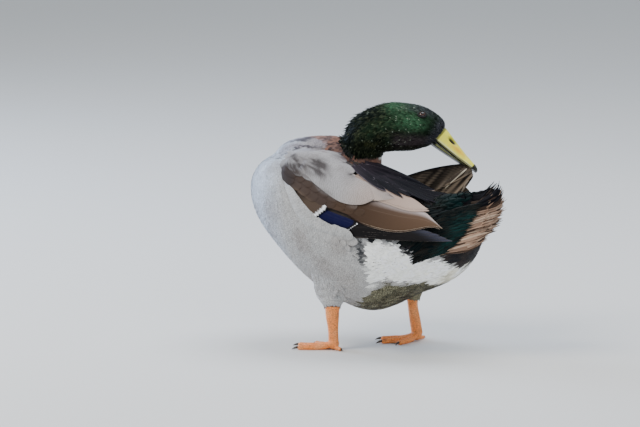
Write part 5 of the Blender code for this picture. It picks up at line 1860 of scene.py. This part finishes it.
def covert_height(fan, reach):
    """Height of the coverts over the fan: a mound that runs on from the rump and thins out behind."""
    s = (reach - 8) / covert_reach(fan)
    height = smooth_at(s, (0, 0.3, 0.45, 0.62, 0.82, 1), (34, 38, 36, 26, 11, 1.4))
    return height * (0.3 + 0.7 * bump(fan / 0.55))


def covert_depth(fan, reach):
    s = (reach - 8) / covert_reach(fan)
    return smooth_at(s, (0, 0.5, 1), (10, 7, 1.2)) * (1 - 0.5 * (fan / 0.9) ** 4)


def tail_vane(
    sheet, fan, start, length, half_width, lift, look, point=0.9, rows=18, splay=0.0, side=1.0,
    over_coverts=None, camber=0.4, places=SMALL_Q
):
    """A feather of the fan from its root at start; splay turns it sideways towards its tip. With
    over_coverts, it lies over the coverts' mound, or under it where that is negative."""
    s = vane_places(rows)[:, None]
    q = places[None, :]
    reach = start + s * length
    half = half_width * vane_profile(s, length, half_width, point)
    place = fan + splay * s**1.5 + half * q / np.maximum(reach, 14) / TAIL_SPREAD / 1.15
    base = 0.0
    if over_coverts is not None:
        clipped = np.clip(place, -1.0, 1.0)
        base = covert_height(clipped, reach) if over_coverts > 0 else -covert_depth(clipped, reach)
    height = base + lift[0] + (lift[1] - lift[0]) * s**1.4 + camber * (1 - q**2) * side
    middle = tail_point(place, reach, height)
    normal = side * tail_up(place)
    along = s * length + 0 * q
    rim = np.minimum(half * (1 - np.abs(q)), length - along)
    look = look(place, reach, s + 0 * q, q + 0 * s) if callable(look) else look
    sheet.add(middle, normal, along, half * q, rim, **look)


def tail_look(rng, fan, tone=None):
    """Buff tail feathers with darker streaks and paler edges; nearly black in the middle of the fan."""
    buff = np.array(bpy.context.scene.drake_colours.tail_buff)
    dark = np.clip(1.4 * bump((fan - 0.06) / 0.42), 0, 1)
    tone = rng.uniform() if tone is None else tone
    shade = rng.uniform(0.75, 1.15)

    def look(place, reach, s, q):
        colour = np.clip(buff * shade, 0, 1) + np.zeros(q.shape + (3,))
        colour = painted(
            colour,
            ("#D9BFA6", 0.6 * ease((tone - 0.75) / 0.1) * np.ones(q.shape)),
            ("#241B17", 0.9 * ease((0.34 - tone) / 0.06) * np.ones(q.shape)),
            ("#34271F", 0.65 * bump((q - 0.2) / 0.3) * ease((s - 0.1) / 0.3)),
            ("#101015", dark * np.ones(q.shape)),
        )
        return dict(colour=colour, edge=colour * 1.15, edge_width=0.3, rough=0.6, bars=0.0)

    return look


def lock_start(fan):
    """How far out along the fan the coverts end and the tail feathers show."""
    return 17 + 52 * bump(fan / 0.62)


TAIL_SIDE = [
    ((93, -46, 115), (114, -38, 124), (135, -31, 128), (149, -13, 134.5)),
    ((101, -46, 125), (124, -35, 133), (142, -23.5, 140.5), (152, -4, 144)),
    ((107, -42, 135), (132, -30, 145), (148, -14, 150.5), (156, 8, 153)),
    ((111, -36, 148), (136, -24, 155), (152, -5.5, 162.5), (157, 17, 164.5)),
    ((116, -29, 160), (139, -16, 167), (153, 4.5, 173), (156, 22.5, 181)),
    ((121, -21, 170), (142, -8, 177), (150, 4, 188), (152, 18, 199)),
]  # up the near side of the tail: start of the coverts, their end, the middle of the locks and their tips


def tail_side(level):
    """The four points across the tail's near side at a level counted in rows of TAIL_SIDE."""
    return through([np.ravel(row) for row in TAIL_SIDE], np.clip(level, 0, 5)).reshape(4, 3)


def rump_hues():
    hues = bpy.context.scene.drake_colours
    return np.array(hues.rump_black), np.array(hues.rump_teal_sheen)


class DRAKE_OT_tail(bpy.types.Operator):
    """Builds the raised tail: its fan, the ragged locks, the glossy coverts and the curled feathers"""

    bl_idname = "drake.tail"
    bl_label = "Tail"

    def execute(self, context):
        rng = np.random.default_rng(31)
        material = get_material("wing feathers", plumage_material, **WING_FINISH)
        gloss = get_material("glossy coverts", plumage_material, streak=0.2, bars=0.0, shaft=0.0,
                             specular_tint=tuple(linear("#6FB8AC")), specular_ior_level=0.15)
        sheet = FeatherSheet("tail_feathers")
        self.fan(sheet, rng)
        self.side_locks(sheet, rng)
        sheet.build(material, "tail", "tail")
        sheet = FeatherSheet("tail_coverts")
        for cover in (self.mound, self.rump, self.back, self.side, self.underside):
            cover(sheet, rng)
        sheet.build(gloss, "tail")
        sheet = FeatherSheet("curled_feathers")
        self.curls(sheet)
        sheet.build(gloss, "tail")
        return {"FINISHED"}

    def fan(self, sheet, rng):
        """The broad tail feathers and, over them, ragged locks in three layers."""
        for fan in np.linspace(-1, 1, 17):
            length = TAIL_LENGTH - TAIL_SHORTER * fan**2 - 26
            tail_vane(
                sheet, fan, 14, length, 6.6, (1.2 * (1 - abs(fan)),) * 2, tail_look(rng, fan), point=0.55,
                places=VANE_Q
            )
        for layer in range(3):
            for fan in np.arange(-1.06, 1.07, 0.034):
                place = fan + rng.uniform(-0.014, 0.014)
                start = max(lock_start(place) - 16 + 9 * layer, 12)
                tip = TAIL_LENGTH - TAIL_SHORTER * place**2 + 6 - rng.uniform(0, 9) - 5 * layer
                tail_vane(
                    sheet, np.clip(place, -1.05, 1.05), start, tip - start, rng.uniform(1.7, 2.6),
                    (0.9 + 0.9 * layer, rng.uniform(-1.5, 2.0)), tail_look(rng, place), point=1.0, rows=9,
                    splay=rng.uniform(-0.035, 0.035), over_coverts=1, camber=0.35, places=LOCK_Q
                )

    def side_locks(self, sheet, rng):
        """Locks of tail feathers that stand out of the near side."""
        for layer in range(3):
            for k in range(60):
                level = (k + rng.uniform(0.1, 0.9)) / 60 * 5.1 - 0.1
                first, bend, last = tail_side(level)[1:]
                first = (
                    first - (first - tail_side(level)[0]) * (0.25 + 0.12 * layer)
                    + (bend - first) * 0.1 * (2 - layer)
                )
                last = last + (bend - last) * rng.uniform(-0.02, 0.35) + rng.normal(0, 1.2, 3) * [1, 0.5, 1]
                bend = bend + rng.normal(0, 1.0, 3) + [0, -0.5 * layer, -1.2]
                first = first + [0, -0.5 * layer + 0.8, 0]
                span = np.linspace(0, 1, 9)[:, None] + 0 * LOCK_Q
                fan = 0.08 if level + rng.uniform(-0.4, 0.4) > 4.35 else -0.7
                look = tail_look(rng, fan)(0, 0, span, 0 * span + LOCK_Q)
                free_vane(
                    sheet, [first, bend, last], rng.uniform(0.8, 1.5), (0.1, -0.9, 0.35), look, point=1.0,
                    rows=9, camber=0.35, places=LOCK_Q
                )

    def curls(self, sheet):
        """The drake's curled feathers over the tail's root."""
        for x, radius, y in ((106, 5.0, 2.0), (113, 5.5, 6.0), (119, 4.8, 10.0)):
            turn = np.radians([-70, -30, 20, 75, 130, 175])
            out = joined(np.cos(turn), 0 * turn, np.sin(turn))
            path = np.array([x + 4, y, 181.0]) + radius * out * np.array([1.9, 1.25, 1, 1, 1, 0.9])[:, None]
            look = dict(colour=linear("#07070A"), edge=linear("#1C1C24"), edge_width=0.4, rough=0.5)
            free_vane(sheet, path, 1.4, out, look, rows=26)

    def mound(self, sheet, rng):
        """Narrow pointed coverts in rows over the mound: teal next to the tail, brown black inside."""
        black, teal = rump_hues()
        for row in range(11):
            share = row / 10
            for fan in np.arange(-1.04, 1.05, 0.046):
                place = fan + rng.uniform(-0.02, 0.02)
                length = rng.uniform(20, 30)
                end = 16 + (lock_start(place) + rng.uniform(0, 9) - 12) * (1 - 0.92 * share)
                start = max(end - length, 1.0)
                # painted sheen: teal where the coverts' gloss catches the light, mostly in the rows next to
                # the tail
                gloss = (
                    bump((share - 0.18) / 0.30) * rng.uniform(0.25, 1.0)
                    * ease((mottle(np.array([[place * 26, row * 5.0, 0]]), 8, 51)[0] - 0.15) / 0.4)
                )
                colour = blend(
                    blend(black * 0.7, linear("#171312"), ease((share - 0.3) / 0.3)), teal * 0.9,
                    0.7 * gloss
                )
                look = dict(colour=colour, edge=colour * 1.5, edge_width=0.35, rough=0.42)
                tail_vane(
                    sheet, place, start, end - start, rng.uniform(1.9, 2.8),
                    (0.4 + 0.22 * row, 1.8 + 0.22 * row + rng.uniform(0, 1.2)), look, rows=7,
                    splay=rng.uniform(-0.05, 0.05), over_coverts=1, camber=0.3
                )

    def rump(self, sheet, rng):
        """Long feathers that run from the rump out over the coverts."""
        black, teal = rump_hues()
        for layer in range(3):
            for fan in np.arange(-1.0, 1.01, 0.036):
                place = fan + rng.uniform(-0.03, 0.03)
                foot = torso_surface(torso_place(64.0 + 5 * layer + rng.uniform(-3, 3)), LEFT * place * -62)
                reach = np.array([6.0, 16.0, 26.0]) + 4 * layer + rng.uniform(-3, 5)
                spread = 0.34 * place * np.array([0.8, 1.0, 1.15])
                over = tail_point(
                    spread, reach, covert_height(spread, reach) + np.array([1.6, 2.0, 1.6]) + 0.3 * layer
                )
                # painted sheen: teal on about one feather in five
                gloss = rng.uniform(0, 1) * (rng.uniform(0, 1) < 0.2)
                colour = blend(blend(black * 0.7, linear("#1C1513"), rng.uniform(0, 1)), teal, gloss)
                look = dict(colour=colour * 0.7, edge=blend(colour, teal, 0.3), edge_width=0.25, rough=0.5)
                turn = np.radians(place * 62)
                facing = unit(joined(0.0, np.sin(turn) * LEFT * -1.0, np.cos(turn)))
                over = over + facing * rng.uniform(-0.4, 1.4) * np.array([[0.4], [0.8], [1.0]])
                free_vane(
                    sheet, [foot + 1.0 * facing, *over], rng.uniform(0.8, 1.7), facing, look, point=1.0,
                    rows=9, camber=0.4, places=SMALL_Q
                )

    def back(self, sheet, rng):
        """Loose feathers over the black of the back's end, alike on both sides."""
        black, _ = rump_hues()
        for x in np.arange(108, 58, -3.4):
            edge = np.interp(x, UPPER_EDGE_X, UPPER_EDGE_DEG)
            for deg in np.arange(30, edge - 4, 4.0):
                start = x + rng.uniform(-1.8, 1.8)
                turn = deg + rng.uniform(-2, 2)
                s = np.array([0, 0.35, 0.7, 1.0])
                reach = rng.uniform(13, 20)
                spot = torso_surface(torso_place(start + reach * 0.8 * s), LEFT * -(turn - 12 * s))
                middle = np.array([start + reach / 2, 0, 130.0])
                path = spot + unit(spot - middle) * (0.9 + rng.uniform(0.2, 1.3) * s)[:, None]
                colour = blend(black * 0.8, linear("#1F1917"), rng.uniform(0, 1))
                for side in (1, -1):
                    line = path * [1, side, 1]
                    look = dict(colour=colour, edge=colour * 1.6, edge_width=0.3, rough=0.55)
                    free_vane(
                        sheet, line, rng.uniform(1.3, 2.2), unit(line[1] - middle), look, point=1.0, rows=6,
                        camber=0.3, places=SMALL_Q
                    )

    def side(self, sheet, rng):
        """Coverts in rows up the tail's near side, glossy next to the locks."""
        black, teal = rump_hues()
        for row in range(6):
            for k in range(50):
                level = (k + rng.uniform(0, 1)) / 50 * 5.1 - 0.1
                root, end, beyond = tail_side(level)[:3]
                way = (end - root) / 22.0
                tip = end + (beyond - end) * 0.12 + way * (rng.uniform(-3, 3) - 5.0 * row)
                start = tip - way * rng.uniform(14, 20)
                bend = (start + tip) / 2 + [0, -1.0, 0.6]
                rise = np.array([0, -0.9, 0.35]) * (0.8 + 0.3 * row)
                # painted sheen: teal on the coverts next to the locks
                gloss = bump((row - 0.8) / 2.0) * rng.uniform(0, 1) ** 0.7 * ease((4.6 - level) / 0.8)
                colour = blend(
                    blend(black * 0.8, linear("#1F1917"), rng.uniform(0, 1)), teal * rng.uniform(0.5, 1.3),
                    gloss
                )
                look = dict(colour=colour, edge=colour * 1.7, edge_width=0.3, rough=0.5)
                free_vane(
                    sheet, [start + rise * 0.5, bend + rise, tip + rise], rng.uniform(0.9, 1.7),
                    (0.1, -0.9, 0.35), look, point=1.0, rows=7, camber=0.3, places=SMALL_Q
                )

    def underside(self, sheet, rng):
        """Black coverts in rows under the tail."""
        black, _ = rump_hues()
        for row in range(6):
            share = row / 5
            for fan in np.arange(-0.98, 0.99, 0.08):
                place = fan + rng.uniform(-0.03, 0.03)
                start = 4 + (covert_reach(place) - 14) * (1 - share) + rng.uniform(-2, 2)
                colour = black * rng.uniform(0.6, 1.1)
                look = dict(colour=colour, edge=colour * 1.4, edge_width=0.4, rough=0.5)
                tail_vane(
                    sheet, place, start, 28, 3.2, (-0.2 - 0.2 * row, -1.4 - 0.2 * row), look, rows=7,
                    side=-1.0, over_coverts=-1, camber=0.3
                )


# Pieces: legs

FOOT_PLACE = {"left": (-27.5, -48.0), "right": (28.0, 48.0)}
FOOT_HEADING = {"left": math.radians(184), "right": math.radians(234)}
TOES, HALLUX = ((-29, 41), (0, 52), (27, 48)), (152, 17)
WEB_START, WEB_REACH, WEB_HOLLOW = 6.0, 0.80, 0.13


def toe_surface(place, heading, length, thick, base_height=7.0):
    """A toe along the floor, swollen at its joints."""
    way = np.array([math.cos(heading), math.sin(heading)])
    shape = ((0, base_height, 1.1), (0.3, 3.2, 1.0), (0.62, 2.5, 0.86), (0.8, 2.2, 0.8), (0.86, 1.9, 0.62))
    rows = [(*(np.array(place) + way * length * s), z, thick * r, thick * r * 1.1) for s, z, r in shape]
    s = np.linspace(0, 1, 34)
    joints = 1 + 0.10 * (bump((s - 0.42) / 0.06) + bump((s - 0.76) / 0.06))
    close = np.sqrt(np.clip(1 - np.clip((s - 0.88) / 0.12, 0, 1) ** 2, 0, 1))
    around = np.linspace(0, 360, 20, endpoint=False)[None, :]
    return tube_surface(rows, s[:, None], around, (-way[1], way[0], 0), swell=(joints * close)[:, None])


def claw_surface(place, heading, length, thick):
    """A claw at the end of a toe, curved down to the floor."""
    way = np.array([math.cos(heading), math.sin(heading)])
    shape = ((0.80, 2.6, 0.40), (0.87, 2.7, 0.42), (0.94, 1.9, 0.28), (1.0, 0.6, 0.05))
    rows = [(*(np.array(place) + way * length * s), z, thick * r, thick * r * 0.9) for s, z, r in shape]
    return tube_surface(
        rows, np.linspace(0, 1, 16)[:, None], np.linspace(0, 360, 14, endpoint=False)[None, :],
        (-way[1], way[0], 0)
    )


def web_plate(place, heading, outwards):
    """The skin between the front toes: a sheet hollowed at its edge, thin and a little rippled."""
    keys = [t[0] for t in TOES]
    angles = np.linspace(keys[0], keys[2], 61)
    reach = np.interp(angles, keys, [t[1] for t in TOES]) * WEB_REACH
    reach = reach * (1 - WEB_HOLLOW * np.abs(np.sin(np.pi * np.interp(angles, keys, (0, 1, 2)))))
    turn = heading + outwards * np.radians(angles)
    share = np.linspace(0, 1, 26)[:, None]
    r = share * (reach - WEB_START)[None, :] + WEB_START
    ripple = 0.28 * np.sin(share * 22 + 3 * np.sin(np.radians(angles * 9))[None, :]) * share
    x, y = place[0] + r * np.cos(turn), place[1] + r * np.sin(turn)
    z = 1.5 + 1.6 * (1 - share) + ripple
    top, bottom = joined(x, y, z + 0.55), joined(x, y, z - 0.55)
    points = np.vstack([top.reshape(-1, 3), bottom.reshape(-1, 3)])
    return points, turned_out(points, [plate_faces(26, 61)])


class DRAKE_OT_legs(bpy.types.Operator):
    """Builds the orange shanks and webbed feet with their claws"""

    bl_idname = "drake.legs"
    bl_label = "Legs"

    def execute(self, context):
        skin = get_material("scaly leg skin", leg_material)
        horn = get_material("claw horn", claw_material)
        for side, outwards in (("left", 1), ("right", -1)):
            place, heading = FOOT_PLACE[side], FOOT_HEADING[side]
            around = np.linspace(0, 360, 40, endpoint=False)[None, :]
            s = np.linspace(0, 1, 90)[:, None]
            scute = 0.22 * np.abs(np.sin(s * 42)) ** 0.6
            scute = scute * ease((np.cos(np.radians(around - 180)) + 0.3) / 0.8)
            hock = 1 + 0.10 * bump((s - 0.05) / 0.12)
            shank = tube_surface(SHANKS[side], s, around, swell=hock + 0.02 * scute)
            parts = [closed_form(shank)]
            for angle, length in (*TOES, HALLUX):
                turn = heading + outwards * math.radians(angle)
                thick, base = (3.5, 7.0) if length > 20 else (2.5, 6.0)
                parts.append(closed_form(toe_surface(place, turn, length, thick, base)))
            lat = np.linspace(0, np.pi, 20)[:, None]
            lon = np.linspace(0, 2 * np.pi, 24, endpoint=False)[None, :]
            knob = joined(np.sin(lat) * np.cos(lon), np.sin(lat) * np.sin(lon), np.cos(lat))
            parts.append(closed_form(np.array([*place, 7.0]) + 6.6 * knob))
            parts.append(web_plate(place, heading, outwards))
            self.cuff(side)
            leg = fused_mesh(f"leg_{side}_skin", parts, 0.0009, 3)
            points = read_vectors(leg.vertices, "co")
            points[:, 2] = np.maximum(points[:, 2], 0.0)
            leg.vertices.foreach_set("co", points.ravel())
            leg.update()
            leg.shade_smooth()
            add_piece(leg, skin, f"shank_{side}", f"shank_{side}", f"foot_{side}")
            for k, (angle, length) in enumerate((*TOES, HALLUX)):
                turn = heading + outwards * math.radians(angle)
                thick = 3.5 if length > 20 else 2.8
                claw = tube_mesh(f"claw_{side}_{k + 1}", claw_surface(place, turn, length, thick))
                add_piece(claw, horn, f"foot_{side}")
        return {"FINISHED"}

    def cuff(self, side):
        """Small feathers that hang from the thigh's end over the top of the leg."""
        rng = np.random.default_rng(41)
        sheet = FeatherSheet(f"cuff_{side}_feathers")
        rows = THIGHS[side]
        for layer in range(2):
            for turn in np.arange(0, 360, 12.0) + 6 * layer:
                turn = turn + rng.uniform(-4, 4)
                root, end = (tube_surface(rows, s, turn) for s in (0.62, 0.97))
                middle = tube_surface(rows, np.array([0.62, 0.97]), np.array([turn + 180] * 2))
                out = [unit(a - b) for a, b in zip((root, end), middle)]
                tip = end + out[1] * rng.uniform(-1.2, 0.4) - [0, 0, rng.uniform(2.0, 4.5)]
                colour = torso_colour((end + [0, 0, 14.0])[None])[0][0] * (1 + 0.05 * rng.standard_normal())
                path = [root - out[0] * 0.6, end + out[1] * 0.5, tip]
                look = dict(colour=colour, edge=colour * 1.05, edge_width=0.4, rough=0.65, bars=0.9)
                free_vane(sheet, path, 1.7, out[0], look, point=0.8, rows=7, camber=0.3, places=SMALL_Q)
        knee = tube_surface(rows, np.array([0.45, 0.45]), np.array([0.0, 180.0])).mean(axis=0)
        toward = LEFT if side == "left" else -LEFT
        for layer in range(3):
            for ahead in np.arange(-24, 24, 1.5):
                fall = np.array([15.0, 7.0, -1.0]) - 5.0 * layer + rng.uniform(-1.5, 1.5)
                line = ahead + rng.uniform(-0.7, 0.7) + np.array([-1.5, 0, 1.5])
                guess = knee + joined(line, 30.0 * toward, fall)
                foot, up = nearest_surface(guess)
                colour = torso_colour(foot[1:2] + [0, 0, 6.0])[0][0] * (1 + 0.03 * rng.standard_normal())
                look = dict(colour=colour, edge=colour * 1.04, edge_width=0.3, rough=0.65, bars=0.9)
                free_vane(
                    sheet, foot + up * np.array([[0.3], [1.5], [1.5]]), 1.9, up[1], look, point=0.6, rows=7,
                    camber=0.2, places=SMALL_Q
                )
        sheet.build(get_material("contour feathers", plumage_material), f"thigh_{side}")


def leg_material(name):
    """Leg and web skin: horny scales about 2.3 mm across over waxy orange, darker in the creases."""
    hue = bpy.context.scene.drake_colours.leg_orange
    material, tree, shader = new_material(
        name, roughness=0.5, subsurface_weight=0.08, subsurface_scale=0.002
    )
    place = add_node(tree, "ShaderNodeTexCoord").outputs["Object"]
    spots = {"Vector": place, "Scale": 430.0}
    cells = add_node(tree, "ShaderNodeTexVoronoi", spots, feature="DISTANCE_TO_EDGE").outputs["Distance"]
    noise = add_node(tree, "ShaderNodeTexNoise", {"Vector": place, "Scale": 75.0, "Detail": 5.0})
    crease = add_node(tree, "ShaderNodeMapRange", (cells, 0.0, 0.12, 0.75, 0.0))
    stain = add_node(tree, "ShaderNodeMapRange", (noise, 0.60, 0.74, 0.0, 0.75))
    pale = add_node(tree, "ShaderNodeMapRange", (noise, 0.30, 0.48, 0.5, 0.0))
    colour = (*hue, 1)
    for share, code in ((pale, "#F4B27A"), (crease, "#8A4A22"), (stain, "#4A3426")):
        layer = {0: share, 6: colour, 7: (*linear(code), 1)}
        colour = add_node(tree, "ShaderNodeMix", layer, **RGBA).outputs[2]
    height = add_node(tree, MATH, (cells, 0.12), operation="MINIMUM")
    relief = add_node(tree, "ShaderNodeBump", {"Strength": 0.7, "Distance": 0.0012, "Height": height})
    set_inputs(tree, shader, {"Base Color": colour, "Normal": relief})
    return material


def claw_material(name):
    """Claw horn: smooth and dark, clouded with paler horn."""
    material, tree, shader = new_material(name, base_color=linear("#2B231D"), roughness=0.4)
    place = add_node(tree, "ShaderNodeTexCoord").outputs["Object"]
    noise = add_node(tree, "ShaderNodeTexNoise", {"Vector": place, "Scale": 500.0, "Detail": 2.0})
    dark, pale = ((*linear(code), 1) for code in ("#1D1815", "#4A3B2E"))
    horn = add_node(tree, "ShaderNodeMix", {0: noise, 6: dark, 7: pale}, **RGBA)
    set_inputs(tree, shader, {"Base Color": horn.outputs[2]})
    return material


# Stage

CAMERA_TURN, CAMERA_RISE, PIXEL = math.radians(30), math.radians(9), 1.15
IMAGE = (640, 427)
FLOOR_PIXEL = (375.0, 345.0)  # where the row frame's origin stands in the image
CAMERA_AWAY = 5.0


class DRAKE_OT_stage(bpy.types.Operator):
    """Sets the floor, the lights and the camera"""

    bl_idname = "drake.stage"
    bl_label = "Stage"

    def execute(self, context):
        scene = context.scene
        right = np.array([math.cos(CAMERA_TURN), math.sin(CAMERA_TURN), 0.0])
        back = np.array([
            math.sin(CAMERA_TURN) * math.cos(CAMERA_RISE), -math.cos(CAMERA_TURN) * math.cos(CAMERA_RISE),
            math.sin(CAMERA_RISE),
        ])
        up = np.cross(back, right)
        aside, above = IMAGE[0] / 2 - FLOOR_PIXEL[0], FLOOR_PIXEL[1] - IMAGE[1] / 2
        aim = (right * aside * PIXEL + up * above * PIXEL - ORIGIN) * MM
        lens = bpy.data.cameras.new("camera")
        lens.lens = 36 * CAMERA_AWAY / (IMAGE[0] * PIXEL * MM)
        lens.clip_end = 50
        camera = add_object("camera", lens)
        self.point(camera, aim + back * CAMERA_AWAY, aim)
        scene.camera = camera
        world = bpy.data.worlds.new("soft sky")
        scene.world = world
        world.use_nodes = True
        background = world.node_tree.nodes["Background"]
        background.inputs[0].default_value = (*linear("#DCE4EE"), 1)
        background.inputs[1].default_value = 0.80
        for name, place, size, power, colour in (
            ("key", (-0.9, -1.3, 1.9), 1.2, 38, "#FFF8EE"),
            ("top", (0.1, 0.7, 2.1), 1.5, 34, "#F4F7FF"),
            ("window", (-2.2, 0.1, 0.7), 1.5, 58, "#CDE0FF"),
            ("fill", (1.6, -1.1, 0.7), 1.4, 8, "#F2F5FA"),
        ):
            light = bpy.data.lights.new(name, "AREA")
            light.shape, light.size, light.energy, light.color = "DISK", size, power, tuple(linear(colour))
            self.point(add_object(name, light), np.array(place), np.array([0, 0, 0.13]))
        self.floor()
        return {"FINISHED"}

    def point(self, obj, place, aim):
        """Puts the object at a place and turns its -Z axis to the aim; the matrix is set by columns."""
        back = unit(place - aim)
        right = unit(np.cross([0, 0, 1.0], back))
        up = np.cross(back, right)
        turn = np.eye(4)
        turn[:3, 0], turn[:3, 1], turn[:3, 2], turn[:3, 3] = right, up, back, place
        obj.matrix_world = turn.T.tolist()

    def floor(self):
        x = np.linspace(-4000, 4000, 9)
        grid = joined(x[:, None], x[None, :], 0.0)
        i, j = np.meshgrid(np.arange(8), np.arange(8), indexing="ij")
        p = (i * 9 + j).ravel()
        faces = np.stack([p, p + 9, p + 10, p + 1], -1)
        mesh, _ = new_mesh("floor", grid.reshape(-1, 3) + ORIGIN, [faces])
        paper = dict(base_color=linear("#D9D9D6"), roughness=0.9)
        mesh.materials.append(grained_material("matt paper", 60.0, 4.0, 0.05, 0.001, **paper))
        add_object("floor", mesh)


OPERATORS = (
    DRAKE_OT_skin, DRAKE_OT_body_feathers, DRAKE_OT_head_feathers, DRAKE_OT_bill, DRAKE_OT_eyes,
    DRAKE_OT_wings, DRAKE_OT_tail, DRAKE_OT_legs, DRAKE_OT_stage,
)


class DRAKE_PT_panel(bpy.types.Panel):
    """Lists the pieces in the sidebar"""

    bl_idname = "DRAKE_PT_panel"
    bl_label = "Preening Drake"
    bl_space_type = "VIEW_3D"
    bl_region_type = "UI"
    bl_category = "Drake"

    def draw(self, context):
        for group in (context.scene.drake_sizes, context.scene.drake_colours):
            for key in group.__annotations__:
                self.layout.prop(group, key)
        for operator in OPERATORS:
            self.layout.operator(operator.bl_idname)


def register():
    for kind in (DrakeSizes, DrakeColours, *OPERATORS, DRAKE_PT_panel):
        bpy.utils.register_class(kind)
    bpy.types.Scene.drake_sizes = bpy.props.PointerProperty(type=DrakeSizes)
    bpy.types.Scene.drake_colours = bpy.props.PointerProperty(type=DrakeColours)


def unregister():
    del bpy.types.Scene.drake_colours, bpy.types.Scene.drake_sizes
    for kind in (DRAKE_PT_panel, *reversed(OPERATORS), DrakeColours, DrakeSizes):
        bpy.utils.unregister_class(kind)


def main():
    register()
    for operator in OPERATORS:
        group, name = operator.bl_idname.split(".")
        getattr(getattr(bpy.ops, group), name)()


if __name__ == "__main__":
    main()
